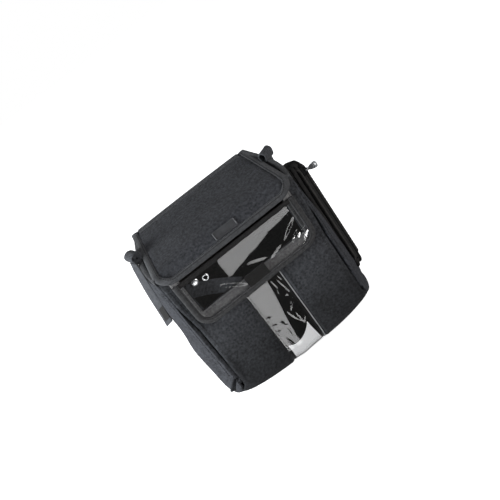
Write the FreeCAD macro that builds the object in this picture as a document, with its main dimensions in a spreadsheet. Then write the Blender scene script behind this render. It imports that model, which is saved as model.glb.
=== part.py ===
"""Padded carrying case: soft shell, hinged lid with a clear window flap, side pocket and hanging strap.

Millimetres. X runs across the front, Y from front to back, Z up. The origin is the middle of the base,
on the surface that the case stands on.
"""
import FreeCAD, Part
import math
import os

import Sketcher
from FreeCAD import Placement, Rotation, Vector

SIZES = [
    # name, value, what it is
    ("seam_half", 105, "half the front's width, between its side seams"),
    ("back_half", 101, "half the back panel's width"),
    ("side_half", 125, "half the width at the fullest part of the gussets"),
    ("top_half", 104, "half the width that the gussets' taper would reach at the outline's top"),
    ("taper_z", 100, "height above which the gussets draw in"),
    ("half_depth", 59, "half the depth of the shell"),
    ("back_top", 249.5, "height of the back panel"),
    ("front_top", 228, "height of the gussets at the front"),
    ("base_flat", 40, "half the width of the base that touches the ground"),
    ("corner_rise", 22, "how far the base curves up at the gussets"),
    ("front_round", 38, "radius of the front lower edge"),
    ("back_round", 12, "radius of the back lower edge"),
    ("foam", 4, "thickness of the foam laminate"),
    ("tape", 1.2, "thickness of a layer of binding tape"),
    ("tape_width", 9.5, "visible width of the folded binding tape"),
    ("vinyl", 0.8, "thickness of the clear vinyl"),
    ("base_seam", 47, "where the front panels meet the back panel under the base"),
    ("strip_half", 27, "half the visible width of the clear front strip"),
    ("hem", 5, "width of the tape inside each edge of the strip"),
    ("mouth_half", 81, "half the width of the front mouth"),
    ("mouth_z", 163, "height of the mouth's lower edge"),
    ("mouth_band", 14, "height of the tape along the mouth's lower edge"),
    ("mouth_column", 12, "width of the tape up the mouth's sides"),
    ("patch_half", 16, "half the width of the hook and loop patches"),
    ("patch_z", 151, "height of the patches' lower edge"),
    ("patch_height", 16, "height of the patches"),
    ("lid_front_half", 101, "half the lid's width at its front edge"),
    ("lid_back_half", 93, "half the lid's width at its hinge"),
    ("lid_front_y", 69, "how far the lid's lip stands in front of the middle"),
    ("lid_back_y", 59.5, "where the lid ends at the back"),
    ("lid_back_z", 257, "height of the lid's upper face at the hinge"),
    ("lid_bend_y", 56, "where the lid starts to bend down, in front of the middle"),
    ("lid_bend_z", 240, "height of the lid there"),
    ("lip_bend_z", 228, "height where the lip turns straight down"),
    ("lip_z", 217, "height of the lid's lower edge"),
    ("lid_corner", 24, "radius of the lid's lower corners"),
    ("hinge_y", 61.5, "hinge line of the lid, behind the middle"),
    ("hinge_z", 256.5, "height of the lid's hinge line"),
    ("badge_half", 17, "half the width of the blank badge"),
    ("flap_half", 92.5, "half the width of the window flap"),
    ("flap_bottom", 143, "height of the window flap's lower edge"),
    ("flap_top", 215.1, "height of the window flap's upper edge"),
    ("flap_y", 64.5, "middle plane of the window flap, in front of the middle"),
    ("flap_corner", 20, "radius of the window flap's lower corners"),
    ("loop_outer_x", 113, "outer face of a strap loop"),
    ("loop_inner_x", 99, "inner face of a strap loop"),
    ("loop_bottom", 244.8, "lower face of a strap loop"),
    ("loop_top", 263, "top of a strap loop"),
    ("loop_front", 8, "front edge of a strap loop, in front of the middle"),
    ("loop_back", 17, "back edge of a strap loop"),
    ("webbing", 2.2, "thickness of the loops' webbing"),
    ("strap_top_z", 257, "height of the hanging strap's upper end"),
    ("strap_low_z", 150, "height of the hanging strap's tips"),
    ("strap_front", 15, "front edge of the hanging strap, in front of the middle"),
    ("strap_back", 7, "back edge of the hanging strap"),
    ("ply", 1.6, "thickness of one ply of the hanging strap"),
    ("pocket_front", 40, "front of the side pocket, in front of the middle"),
    ("pocket_back", 40, "back of the side pocket"),
    ("pocket_x", 133, "outer face of the side pocket"),
    ("pocket_low", 57, "bottom of the side pocket"),
    ("pocket_high", 232, "top of the side pocket at its front"),
    ("pocket_fall", 20, "how much lower the pocket's top is at its back"),
    ("pocket_fall_start", 18, "where the top starts to fall, in front of the middle"),
    ("pocket_wall", 1.6, "thickness of the side pocket's cloth"),
    ("pocket_corner", 6, "corner radius of the side pocket"),
    ("bevel", 9, "width and depth of the pocket's slanted front edge, where the zip is"),
    ("slot_half", 4, "half the width of the zip's slot"),
    ("slot_low", 69, "bottom of the zip's slot"),
    ("slot_high", 227, "top of the zip's slot"),
    ("slider_z", 219, "height of the slider's middle when the zip is closed"),
    ("slider_half", 7, "half the slider's length"),
    ("bridge_out", 3.8, "distance of the slider's bridge in front of the pocket's slanted edge"),
    ("pull_end", 23.5, "distance of the pull's tip in front of the pocket's slanted edge"),
    ("pull_half", 5, "half the width of the pull's blade"),
    ("pull_hole", 2.2, "radius of the hole in the pull"),
    ("coil_in", 0.85, "gap from the middle of the zip to a coil"),
    ("coil_out", 2.2, "distance from the middle of the zip to a coil's far side"),
    ("piping", 1.8, "radius of the pocket's pipings"),
    ("rear_piping", 2.2, "radius of the rear pipings"),
    ("leg_inner_x", 101.2, "inner face of the leg that a strap loop stands on"),
    ("leg_depth", 16, "length of that leg below the loop"),
    ("stud_x", -67, "middle of the press stud"),
    ("stud_z", 198, "height of the press stud"),
    ("stud_cap", 5.5, "radius of the press stud's cap"),
    ("eyelet_x", -52.5, "middle of the eyelet"),
    ("eyelet_z", 195, "height of the eyelet"),
    ("eyelet_rim", 5, "radius of the eyelet's rim"),
    ("eyelet_bore", 2.4, "radius of the eyelet's hole"),
    ("inner_strap_gap", 2.4, "space between the front and the strap inside the mouth"),
    ("lid_lining", 1, "thickness of the lid's lining"),
    ("flap_binding", 7.5, "visible width of the window flap's binding"),
    ("flap_binding_half", 1.3, "half the thickness of that binding"),
    ("inner_ply_top", 113.5, "inner face of the hanging strap's inner ply at its top"),
    ("inner_ply_low", 121.5, "the same at its tip"),
    ("outer_ply_top", 115.5, "inner face of the hanging strap's outer ply at its top"),
    ("outer_ply_low", 128, "the same at its tip"),
    ("strap_patch_low", 4, "height of the strap's hook and loop patches above its tips"),
    ("strap_patch_length", 24, "length of those patches"),
]

doc = FreeCAD.newDocument("carrying_case")
sheet = doc.addObject("Spreadsheet::Sheet", "dims")


class Dim:
    """A length with its value and the sheet expression that gives it."""

    def __init__(self, value, text):
        self.value = float(value)
        self.text = text

    def __add__(self, other):
        other = dim(other)
        return Dim(self.value + other.value, f"({self.text} + {other.text})")

    def __sub__(self, other):
        other = dim(other)
        return Dim(self.value - other.value, f"({self.text} - {other.text})")

    def __rsub__(self, other):
        return dim(other) - self

    def __mul__(self, other):
        other = dim(other)
        return Dim(self.value * other.value, f"({self.text} * {other.text})")

    def __truediv__(self, other):
        other = dim(other)
        return Dim(self.value / other.value, f"({self.text} / {other.text})")

    def __neg__(self):
        return Dim(-self.value, f"(0 - {self.text})")


def dim(number):
    """A plain number as a Dim; a Dim stays as it is."""
    if isinstance(number, Dim):
        return number
    return Dim(number, f"({number})" if number < 0 else f"{number}")


def fill_sheet():
    """Write the driving dimensions and return them by name."""
    found = {}
    for row, (name, value, note) in enumerate(SIZES, start=1):
        sheet.set(f"A{row}", name)
        sheet.set(f"B{row}", str(value))
        sheet.set(f"C{row}", note)
        sheet.setAlias(f"B{row}", name)
        found[name] = Dim(value, f"dims.{name}")
    doc.recompute()
    return found


d = fill_sheet()
NODES = []


def node(thing, label):
    """Name a finished sub-part and keep it for export."""
    thing.Label = label
    NODES.append(thing)
    return thing


# ---------------------------------------------------------------- sketches and solids

def arc_between(start, end, radius, turn):
    """The short arc from start to end, and whether it runs against the sketch's own direction."""
    chord = end - start
    middle = (start + end) * 0.5
    half = chord.Length / 2
    height = math.sqrt(max(radius**2 - half**2, 0.0))
    normal = Vector(-chord.y, chord.x, 0).normalize()
    centre = middle + normal * height * turn
    first, last = (start, end) if turn > 0 else (end, start)
    low = math.atan2(first.y - centre.y, first.x - centre.x)
    high = math.atan2(last.y - centre.y, last.x - centre.x)
    if high < low:
        high += 2 * math.pi
    circle = Part.Circle(centre, Vector(0, 0, 1), radius)
    return Part.ArcOfCircle(circle, low, high), turn < 0


def draw(sketch, segments):
    """Draw a closed outline. A segment is (x, y), a line's end, or (x, y, radius, turn), an arc's end."""
    ends = [(dim(item[0]), dim(item[1])) for item in segments]
    points = [Vector(x.value, y.value, 0) for x, y in ends]
    tips = []
    for i, item in enumerate(segments):
        start, end = points[i - 1], points[i]
        if len(item) == 2:
            sketch.addGeometry(Part.LineSegment(start, end), False)
            tips.append((1, 2))
        else:
            curve, backwards = arc_between(start, end, dim(item[2]).value, item[3])
            sketch.addGeometry(curve, False)
            tips.append((2, 1) if backwards else (1, 2))
    for i in range(len(segments)):
        before = (i - 1) % len(segments)
        sketch.addConstraint(Sketcher.Constraint("Coincident", before, tips[before][1], i, tips[i][0]))
    for i, item in enumerate(segments):
        bind_constraint(sketch, "DistanceX", (-1, 1, i, tips[i][1]), ends[i][0], f"across{i}")
        bind_constraint(sketch, "DistanceY", (-1, 1, i, tips[i][1]), ends[i][1], f"up{i}")
        if len(item) > 2:
            bind_constraint(sketch, "Radius", (i,), dim(item[2]), f"radius{i}")


def bind_constraint(sketch, kind, where, size, name):
    index = sketch.addConstraint(Sketcher.Constraint(kind, *where, size.value))
    sketch.renameConstraint(index, name)
    sketch.setExpression(f"Constraints.{name}", size.text)


def origin_plane(body, role):
    return next(item for item in body.Origin.OriginFeatures if item.Role == role)


def prism(plane, segments, low, high, label="outline"):
    """A body with one outline on an origin plane, padded from low to high along the plane's axis."""
    low, high = dim(low), dim(high)
    body = doc.addObject("PartDesign::Body", "body")
    body.Label = f"{label}_{body.Name}"
    sketch = body.newObject("Sketcher::SketchObject", "sketch")
    sketch.AttachmentSupport = (origin_plane(body, f"{plane}_Plane"), [""])
    sketch.MapMode = "FlatFace"
    start = -high if plane == "XZ" else low
    sketch.setExpression(".AttachmentOffset.Base.z", start.text)
    draw(sketch, segments)
    pad = body.newObject("PartDesign::Pad", "pad")
    pad.Profile = sketch
    pad.setExpression("Length", (high - low).text)
    return body


def box(x_range, y_range, z_range, label="box"):
    """A box between three pairs of lengths."""
    solid = doc.addObject("Part::Box", label)
    for side, axis, (low, high) in zip(("Length", "Width", "Height"), "xyz", (x_range, y_range, z_range)):
        solid.setExpression(side, (dim(high) - low).text)
        solid.setExpression(f"Placement.Base.{axis}", dim(low).text)
    return solid


def rod(radius, length, place, turn=None):
    """A cylinder along Z, or turned, from a place."""
    solid = doc.addObject("Part::Cylinder", "rod")
    solid.setExpression("Radius", dim(radius).text)
    solid.setExpression("Height", dim(length).text)
    if turn is not None:
        solid.Placement = Placement(Vector(), turn)
    for axis, value in zip("xyz", place):
        solid.setExpression(f"Placement.Base.{axis}", dim(value).text)
    return solid


def common(*shapes):
    result = doc.addObject("Part::MultiCommon", "common")
    result.Shapes = list(shapes)
    return result


def fuse(*shapes):
    result = doc.addObject("Part::MultiFuse", "fuse")
    result.Shapes = list(shapes)
    return result


def cut(base, *tools):
    result = doc.addObject("Part::Cut", "cut")
    result.Base = base
    result.Tool = tools[0] if len(tools) == 1 else fuse(*tools)
    return result


def rectangle(x0, x1, y0, y1):
    return [(x0, y0), (x1, y0), (x1, y1), (x0, y1)]


def rounded(x0, x1, y0, y1, radius):
    """A rectangle with four round corners."""
    x0, x1, y0, y1, radius = (dim(item) for item in (x0, x1, y0, y1, radius))
    return [
        (x0 + radius, y0, radius, 1), (x1 - radius, y0),
        (x1, y0 + radius, radius, 1), (x1, y1 - radius),
        (x1 - radius, y1, radius, 1), (x0 + radius, y1),
        (x0, y1 - radius, radius, 1), (x0, y0 + radius),
    ]


def apron(half, low, high, radius):
    """An outline with two round lower corners, symmetric about X = 0."""
    half, low, radius = dim(half), dim(low), dim(radius)
    return [
        (radius - half, low, radius, 1), (half - radius, low),
        (half, low + radius, radius, 1), (half, high),
        (-half, high), (-half, low + radius),
    ]


# ---------------------------------------------------------------- the shell's envelope

WIDE = 140        # further out than any of the shell
HIGH = 290        # higher than any of the shell
SPARE = 40        # how far a cutting form passes through the shell's open top


def side_outline(inset, rise):
    """The shell from the side, inset on every side; rise lifts its sloping top."""
    front = inset - d["half_depth"]
    back = d["half_depth"] - inset
    base = dim(inset)
    front_round = d["front_round"] - inset
    back_round = d["back_round"] - inset
    return [
        (back - back_round, base), (back, base + back_round, back_round, 1),
        (back, d["back_top"] + rise), (front, d["front_top"] + rise),
        (front, base + front_round), (front + front_round, base, front_round, 1),
    ]


def front_outline(inset):
    """The shell from the front: a flat middle, a base that curves up, and sides that draw in."""
    inset = dim(inset)
    side = d["side_half"] - inset
    reach = d["side_half"] - d["base_flat"]
    sweep = (reach * reach + d["corner_rise"] * d["corner_rise"]) / (d["corner_rise"] * 2)
    rise = inset + d["corner_rise"]
    top = d["top_half"] - inset
    return [
        (-d["base_flat"], inset, sweep, 1), (d["base_flat"], inset), (side, rise, sweep, 1),
        (side, d["taper_z"]), (top, HIGH), (-top, HIGH), (-side, d["taper_z"]), (-side, rise),
    ]


def plan_outline(inset):
    """The shell from above: bulging gussets between a front and a narrower back."""
    inset = dim(inset)
    front, back = inset - d["half_depth"], d["half_depth"] - inset
    seam, rear = d["seam_half"] - inset, d["back_half"] - inset
    bulge = d["side_half"] - (d["seam_half"] + d["back_half"]) / 2
    sweep = (d["half_depth"] * d["half_depth"] + bulge * bulge) / (bulge * 2)
    return [
        (seam, front), (rear, back, sweep, 1), (-rear, back), (-seam, front, sweep, 1),
    ]


def envelope(inset, rise=0):
    """The closed form that the shell's faces follow at one depth below its outside."""
    inset = dim(inset)
    return common(
        prism("YZ", side_outline(inset, rise), -WIDE, WIDE, "side"),
        prism("XZ", front_outline(inset), -WIDE, WIDE, "front"),
        prism("XY", plan_outline(inset), -WIDE, HIGH, "plan"),
    )


outside = envelope(0)
inside = envelope(d["foam"], SPARE)
shell = cut(outside, inside)
gusset_split = d["seam_half"] - d["foam"]
front_face = -d["half_depth"]
back_face = d["half_depth"]


def mirrored_x(side, inner, outer):
    """The span from inner to outer on the left (-1) or the right (1)."""
    return (dim(inner), dim(outer)) if side > 0 else (-dim(outer), -dim(inner))


SIDES = (("left", -1), ("right", 1))


def back_panel():
    region = box((-gusset_split, gusset_split), (d["base_seam"], WIDE), (-1, HIGH))
    node(common(shell, region), "back_panel")


def front_panels():
    """Two J-shaped panels that run down the front and under the base."""
    for name, side in SIDES:
        span = mirrored_x(side, d["strip_half"], gusset_split)
        region = box(span, (-WIDE, d["base_seam"]), (-1, HIGH))
        mouth = box((-d["mouth_half"], d["mouth_half"]), (-WIDE, 0), (d["mouth_z"], HIGH))
        node(cut(common(shell, region), mouth), f"front_panel_{name}")


def gussets():
    for name, side in SIDES:
        region = box(mirrored_x(side, gusset_split, WIDE), (-WIDE, WIDE), (-1, HIGH))
        node(common(shell, region), f"gusset_{name}")


def side_layer(outer_inset, inner_inset, x_range):
    """A thin J-shaped layer that follows the shell's side outline between two depths."""
    outer = prism("YZ", side_outline(outer_inset, 0), *x_range, "layer")
    inner = prism("YZ", side_outline(inner_inset, SPARE), -WIDE, WIDE, "layer")
    keep = box((-WIDE, WIDE), (-WIDE, d["base_seam"]), (-1, d["mouth_z"]))
    return common(cut(outer, inner), keep)


def front_window_strip():
    strip = side_layer(0, d["vinyl"], (-d["strip_half"], d["strip_half"]))
    node(strip, "front_window_strip")


def strip_edge_tapes():
    for name, side in SIDES:
        span = mirrored_x(side, d["strip_half"] - d["hem"], d["strip_half"])
        node(side_layer(d["vinyl"], d["vinyl"] + d["tape"], span), f"strip_edge_tape_{name}")


def seam_bindings():
    """Tape over the raw edges of the front seams, inside the shell."""
    layer = cut(envelope(d["foam"], -6), envelope(d["foam"] + d["tape"], SPARE))
    for name, side in SIDES:
        span = mirrored_x(side, gusset_split - d["tape_width"], gusset_split - d["tape"])
        region = box(span, (-WIDE, d["base_seam"]), (-1, HIGH))
        node(common(layer, region), f"seam_binding_{name}")


def mouth_binding():
    """Tape along the mouth's lower edge and up both of its sides."""
    outer = d["mouth_half"] + d["mouth_column"]
    low = d["mouth_z"] - d["mouth_band"]
    high = d["front_top"] - 4
    outline = [
        (-outer, low), (outer, low), (outer, high), (d["mouth_half"], high),
        (d["mouth_half"], d["mouth_z"]), (-d["mouth_half"], d["mouth_z"]),
        (-d["mouth_half"], high), (-outer, high),
    ]
    node(prism("XZ", outline, front_face - d["tape"], front_face), "mouth_binding")


def mouth_loop_patch():
    front = front_face - d["tape"]
    span = (-d["patch_half"], d["patch_half"])
    high = d["patch_z"] + d["patch_height"] - 4
    patch = prism("XZ", rectangle(*span, d["patch_z"], high), front - 1.7, front)
    node(patch, "mouth_loop_patch")


def top_edge_bindings():
    """Tape folded over the sloping top edge of each gusset."""
    tape, deep = d["tape"], d["foam"] + d["tape"]
    skin = cut(envelope(-tape, tape), envelope(deep, SPARE))
    low = -d["tape_width"]
    band = [
        (d["half_depth"] + 1, d["back_top"] + low), (d["half_depth"] + 1, d["back_top"] + 20),
        (front_face - 2, d["front_top"] + 20), (front_face - 2, d["front_top"] + low),
    ]
    slab = prism("YZ", band, -WIDE, WIDE, "slab")
    made = []
    for name, side in SIDES:
        region = box(mirrored_x(side, gusset_split, WIDE), (-WIDE, WIDE), (-1, HIGH))
        made.append(node(cut(common(skin, slab, region), shell), f"top_edge_binding_{name}"))
    return made


def rear_pipings():
    """A round piping in each rear seam, proud of the shell."""
    for name, side in SIDES:
        x = d["back_half"] * side
        low = d["corner_rise"] + 6
        high = d["back_top"] - 14
        post = rod(d["rear_piping"], high - low, (x, back_face, low))
        node(cut(post, outside), f"rear_piping_{name}")


def back_hinge_tape():
    """The lower half of the lid's hinge tape, sewn to the back panel."""
    half = d["lid_back_half"]
    tape = box((-half, half), (back_face, back_face + 1), (d["back_top"] - 12, d["back_top"]))
    node(tape, "back_hinge_tape")


def strap_loops():
    """A webbing loop that stands on each gusset, with one leg sewn down inside it."""
    inner, outer = d["loop_inner_x"], d["loop_outer_x"]
    low, high, web = d["loop_bottom"], d["loop_top"], d["webbing"]
    depth = (-d["loop_front"], d["loop_back"])
    for name, side in SIDES:
        x0, x1 = mirrored_x(side, inner, outer)
        ring = prism("XZ", rounded(x0, x1, low, high, 5), *depth)
        hole = prism("XZ", rounded(x0 + web, x1 - web, low + web, high - web, 3), -WIDE, WIDE)
        leg_x = mirrored_x(side, d["leg_inner_x"], d["leg_inner_x"] + web)
        leg = box(leg_x, depth, (low - d["leg_depth"], low + 1))
        node(cut(fuse(ring, leg), hole), f"strap_loop_{name}")


def inner_strap():
    """A webbing strap that slants down behind the mouth, with its press stud and eyelet."""
    near = front_face + d["foam"] + d["inner_strap_gap"]
    far = near + d["ply"]
    outline = [(-86, 204), (-86, 184), (-66, 184), (-22, 148), (-22, 170), (-56, 204)]
    strap = prism("XZ", outline, near, far, "strap")

    def round_part(radius, length, back, where):
        """A cylinder on the stud's or the eyelet's axis, forwards from its back face."""
        forward = Rotation(Vector(1, 0, 0), 90)
        return rod(radius, length, (d[f"{where}_x"], back, d[f"{where}_z"]), forward)

    through = far + 2
    stud_hole = round_part(3, 8, through, "stud")
    eyelet_hole = round_part(3.6, 8, through, "eyelet")
    node(cut(strap, stud_hole, eyelet_hole), "inner_strap")
    cap = round_part(d["stud_cap"], 1.3, near, "stud")
    post = round_part(2.9, 2.6, far + 0.4, "stud")
    base = round_part(4.5, 1, far + 1, "stud")
    node(fuse(cap, post, base), "inner_strap_stud")
    rim = round_part(d["eyelet_rim"], 0.9, near, "eyelet")
    barrel = round_part(3.5, 2.4, far + 0.1, "eyelet")
    bore = round_part(d["eyelet_bore"], 8, through, "eyelet")
    node(cut(fuse(rim, barrel), bore), "inner_strap_eyelet")


# ---------------------------------------------------------------- the side pocket and its zip

BEVEL_TURN = Rotation(Vector(0, 0, 1), -45)   # turns +X to the zip's outward direction
DIAGONAL = math.sqrt(0.5)                      # what a step along that direction adds to X
BEVEL_SHRINK = 2 - math.sqrt(2)                # how much shorter an inset slanted edge is, each way


def pocket_plan(inset):
    """The pocket from above, with the slanted front edge that carries the zip."""
    inset = dim(inset)
    front, back, outer = inset - d["pocket_front"], d["pocket_back"] - inset, d["pocket_x"] - inset
    slant = d["bevel"] - inset * BEVEL_SHRINK
    return [
        (100, front), (outer - slant, front), (outer, front + slant),
        (outer, back - 6), (outer - 6, back), (100, back),
    ]


def pocket_side(inset):
    """The pocket from the side: three round corners, and a top that falls towards the back."""
    inset = dim(inset)
    low, high = d["pocket_low"] + inset, d["pocket_high"] - inset
    front, back = inset - d["pocket_front"], d["pocket_back"] - inset
    radius = d["pocket_corner"] - inset
    return [
        (front + radius, low, radius, 1), (back - radius, low),
        (back, low + radius, radius, 1), (back, high - d["pocket_fall"]),
        (-d["pocket_fall_start"], high), (front + radius, high),
        (front, high - radius, radius, 1), (front, low + radius),
    ]


def pocket_form(inset):
    """The pocket's closed form, inset on every side."""
    side = prism("YZ", pocket_side(inset), 90, WIDE)
    return common(side, prism("XY", pocket_plan(inset), 0, HIGH, "pocket"))


def bevel_point(outward, along):
    """A point at the slanted edge: outward from its face, and along it towards the back."""
    half = d["bevel"] / 2
    x = d["pocket_x"] - half + outward * DIAGONAL + along * DIAGONAL
    y = half - d["pocket_front"] - outward * DIAGONAL + along * DIAGONAL
    return x, y


def bevel_bar(outward, along, z_range):
    """A box in the slanted edge's own directions."""
    solid = doc.addObject("Part::Box", "bar")
    solid.Placement = Placement(Vector(), BEVEL_TURN)
    x, y = bevel_point(dim(outward[0]), dim(along[0]))
    solid.setExpression("Length", (dim(outward[1]) - outward[0]).text)
    solid.setExpression("Width", (dim(along[1]) - along[0]).text)
    solid.setExpression("Height", (dim(z_range[1]) - z_range[0]).text)
    solid.setExpression("Placement.Base.x", x.text)
    solid.setExpression("Placement.Base.y", y.text)
    solid.setExpression("Placement.Base.z", dim(z_range[0]).text)
    return solid


def pocket(gusset_binding):
    outer = cut(pocket_form(0), outside, gusset_binding)
    hollow = cut(pocket_form(d["pocket_wall"]), envelope(-d["pocket_wall"]))
    slot = bevel_bar((-3, 2), (-d["slot_half"], d["slot_half"]), (d["slot_low"], d["slot_high"]))
    node(cut(outer, hollow, slot), "pocket_shell")


def pocket_pipings():
    """Two piping ridges, one on each side of the zip."""
    for name, along in (("inner", -1), ("outer", 1)):
        x, y = bevel_point(dim(0), (d["bevel"] * DIAGONAL + 0.6) * along)
        span = d["slot_high"] - d["slot_low"]
        ridge = rod(d["piping"], span, (x, y, d["slot_low"]))
        node(cut(ridge, pocket_form(0)), f"pocket_piping_{name}")


def zip_tapes_and_coils():
    span = (d["slot_low"] - 2, d["slot_high"] + 0.5)
    wall = -d["pocket_wall"]
    for name, side in (("inner", -1), ("outer", 1)):
        tape_along = mirrored_x(side, 1.2, 5.2)
        coil_along = mirrored_x(side, d["coil_in"], d["coil_out"])
        node(bevel_bar((wall - 0.8, wall), tape_along, span), f"zip_tape_{name}")
        coil_span = (d["slot_low"] + 1, d["slot_high"] - 1)
        node(bevel_bar((wall, -0.3), coil_along, coil_span), f"zip_coil_{name}")


def zip_stops():
    wall = -d["pocket_wall"]
    top = d["slot_high"] - 1
    reach = d["coil_out"] + 0.2
    tops = [bevel_bar((wall, 0.1), mirrored_x(side, d["coil_in"], reach), (top, top + 1)) for side in (-1, 1)]
    node(fuse(*tops), "zip_top_stops")
    low = d["slot_low"]
    node(bevel_bar((wall, 0.1), (-reach, reach), (low, low + 1)), "zip_bottom_stop")


def zip_slider():
    """Two plates and a wedge that run on the coils, with a bridge for the pull."""
    middle, half = d["slider_z"], d["slider_half"]
    top = middle + half
    upper = bevel_bar((0.4, 1.6), (-4.5, 4.5), (middle - half, top))
    lower = bevel_bar((-3.7, -2.7), (-3.4, 3.4), (middle - half, top))
    wedge = bevel_bar((-3.2, 0.5), (-0.5, 0.5), (top - 3, top))
    feet = [bevel_bar((1.5, 4.6), (-0.8, 0.8), (middle + at, middle + at + 1.6)) for at in (-6, 4.4)]
    x, y = bevel_point(d["bridge_out"], dim(0))
    bridge = rod(0.8, 12, (x, y, middle - 6))
    node(fuse(upper, lower, wedge, *feet, bridge), "zip_slider")


def zip_puller():
    """A flat pull with a rolled eye round the slider's bridge and a hole at its tip."""
    middle, out = d["slider_z"], d["bridge_out"]
    half, thin = d["pull_half"], (-0.5, 0.5)
    x, y = bevel_point(out, dim(0))
    eye = rod(1.9, 6, (x, y, middle - 3))
    neck = bevel_bar((out + 1.1, out + 6.2), thin, (middle - half / 2, middle + half / 2))
    blade = bevel_bar((out + 5.2, d["pull_end"]), thin, (middle - half, middle + half))
    bore = rod(1.15, 20, (x, y, middle - 10))
    across = Rotation(Vector(0, 0, 1), 45).multiply(Rotation(Vector(0, 1, 0), 90))
    hole_x, hole_y = bevel_point(d["pull_end"] - 4, dim(-3))
    hole = rod(d["pull_hole"], 6, (hole_x, hole_y, middle), across)
    node(cut(fuse(eye, neck, blade), bore, hole), "zip_puller")


# ---------------------------------------------------------------- the lid

def lid_band(out_grow, in_grow, low):
    """The lid's folded sheet from the side, thickened outwards and inwards, down to its lower edge."""
    out_grow, in_grow, low = dim(out_grow), dim(in_grow), dim(low)
    foam = d["foam"]
    front = -d["lid_front_y"]
    slope = out_grow * 0.45
    inward = foam + in_grow
    return [
        (d["lid_back_y"], d["lid_back_z"] - inward), (d["lid_back_y"], d["lid_back_z"] + out_grow),
        (-d["lid_bend_y"] - slope, d["lid_bend_z"] + out_grow), (front - out_grow, d["lip_bend_z"] + slope),
        (front - out_grow, low), (front + inward, low),
        (front + inward, d["lip_bend_z"] - inward * 0.45),
        (-d["lid_bend_y"] + inward * 0.3, d["lid_bend_z"] - inward),
    ]


def lid_plan(inset):
    """The lid from above, narrower at its hinge."""
    inset = dim(inset)
    front_half, back_half = d["lid_front_half"] - inset, d["lid_back_half"] - inset
    return [
        (-front_half, -d["lid_front_y"] - 4), (front_half, -d["lid_front_y"] - 4),
        (back_half, d["lid_back_y"] + 1), (-back_half, d["lid_back_y"] + 1),
    ]


def lid_sheet(out_grow, in_grow, inset):
    """The lid's sheet with its plan inset by a margin and its lower edge raised by the same."""
    inset = dim(inset)
    low = d["lip_z"] + inset
    face = apron(d["lid_front_half"] - inset, low, HIGH, d["lid_corner"] - inset)
    return common(
        prism("YZ", lid_band(out_grow, in_grow, low), -WIDE, WIDE, "lid"),
        prism("XY", lid_plan(inset), 150, HIGH, "lid"),
        prism("XZ", face, -WIDE, WIDE, "lid"),
    )


def lid_pieces():
    lining = d["lid_lining"]
    sheet_edge = lid_sheet(0, 0, 1)
    node(sheet_edge, "lid_panel")
    with_lining = lid_sheet(-0.5, lining, 1)
    node(cut(with_lining, sheet_edge), "lid_lining")
    whole = lid_sheet(d["tape"], lining + 1, 0)
    core = lid_sheet(d["tape"] + 1, lining + 2, d["tape_width"])
    node(cut(whole, core, sheet_edge, with_lining), "lid_binding")


def lid_hinge_tape():
    """The upper half of the hinge tape, along the lid's back edge."""
    half = d["lid_back_half"] - d["tape_width"] - 1
    low = d["lid_back_z"]
    slope = (d["lid_back_z"] - d["lid_bend_z"]) / (d["lid_back_y"] + d["lid_bend_y"])
    drop = slope * 11
    back = d["lid_back_y"]
    outline = [(back - 11, low - drop), (back, low), (back, low + 1), (back - 11, low - drop + 1)]
    node(prism("YZ", outline, -half, half), "lid_hinge_tape")


def lid_badge():
    """A blank raised badge on the lid's bend."""
    top_y, top_z = -d["lid_bend_y"], d["lid_bend_z"]
    low_y, low_z = -d["lid_front_y"], d["lip_bend_z"]
    near, far, lift = 0.12, 0.86, 1.1
    y0, z0 = top_y + (low_y - top_y) * near, top_z + (low_z - top_z) * near
    y1, z1 = top_y + (low_y - top_y) * far, top_z + (low_z - top_z) * far
    outline = [(y0, z0), (y0 - lift, z0 + lift), (y1 - lift, z1 + lift), (y1, z1)]
    node(prism("YZ", outline, 2 - d["badge_half"], d["badge_half"] + 2), "lid_badge")


# ---------------------------------------------------------------- the window flap

def window_flap():
    """Clear vinyl in a folded binding, a hinge tape at its top and the hook patch behind it."""
    y, thin = -d["flap_y"], d["vinyl"] / 2
    top, low, half = d["flap_top"], d["flap_bottom"], d["flap_half"]
    width, thick = d["flap_binding"], d["flap_binding_half"]
    edge = 1
    pane = prism("XZ", apron(half - edge, low + edge, top - 1, d["flap_corner"] - edge), y - thin, y + thin)
    ring = cut(
        prism("XZ", apron(half, low, top, d["flap_corner"]), y - thick, y + thick),
        prism("XZ", apron(half - width, low + width, HIGH, d["flap_corner"] - width), -WIDE, WIDE),
    )
    node(pane, "window_pane")
    node(cut(ring, pane), "window_binding")
    tape = prism("XZ", rectangle(width - half, half - width, top - 6, top), y - 1, y + 1)
    node(cut(tape, pane), "window_hinge_tape")
    span = (-d["patch_half"], d["patch_half"])
    high = d["patch_z"] + d["patch_height"]
    behind = y + thin
    backing = rectangle(span[0] - 2, span[1] + 2, d["flap_bottom"] + width, high + 1)
    node(prism("XZ", backing, behind, behind + 0.5), "hook_patch_backing")
    patch = rectangle(*span, d["patch_z"], high)
    node(prism("XZ", patch, behind + 0.5, behind + 1.7), "hook_patch")


# ---------------------------------------------------------------- the hanging strap

def strap_ply(top_in, low_in, label):
    """One ply of webbing, from its sewn top to its free tip."""
    top_x, low_x = -dim(top_in), -dim(low_in)
    top, low, ply = d["strap_top_z"], d["strap_low_z"], d["ply"]
    outline = [(top_x, top), (top_x - ply, top), (low_x - ply, low), (low_x, low)]
    node(prism("XZ", outline, -d["strap_front"], d["strap_back"]), label)


def strap_patch(upper_x, slant, label):
    """A thin patch between the plies, that follows the ply it is sewn to."""
    low = d["strap_low_z"] + d["strap_patch_low"]
    high = low + d["strap_patch_length"]
    depth = (3 - d["strap_front"], d["strap_back"] - 3)
    outline = [
        (upper_x - slant, low), (upper_x, high), (upper_x - 1, high), (upper_x - slant - 1, low),
    ]
    node(prism("XZ", outline, *depth), label)


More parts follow.
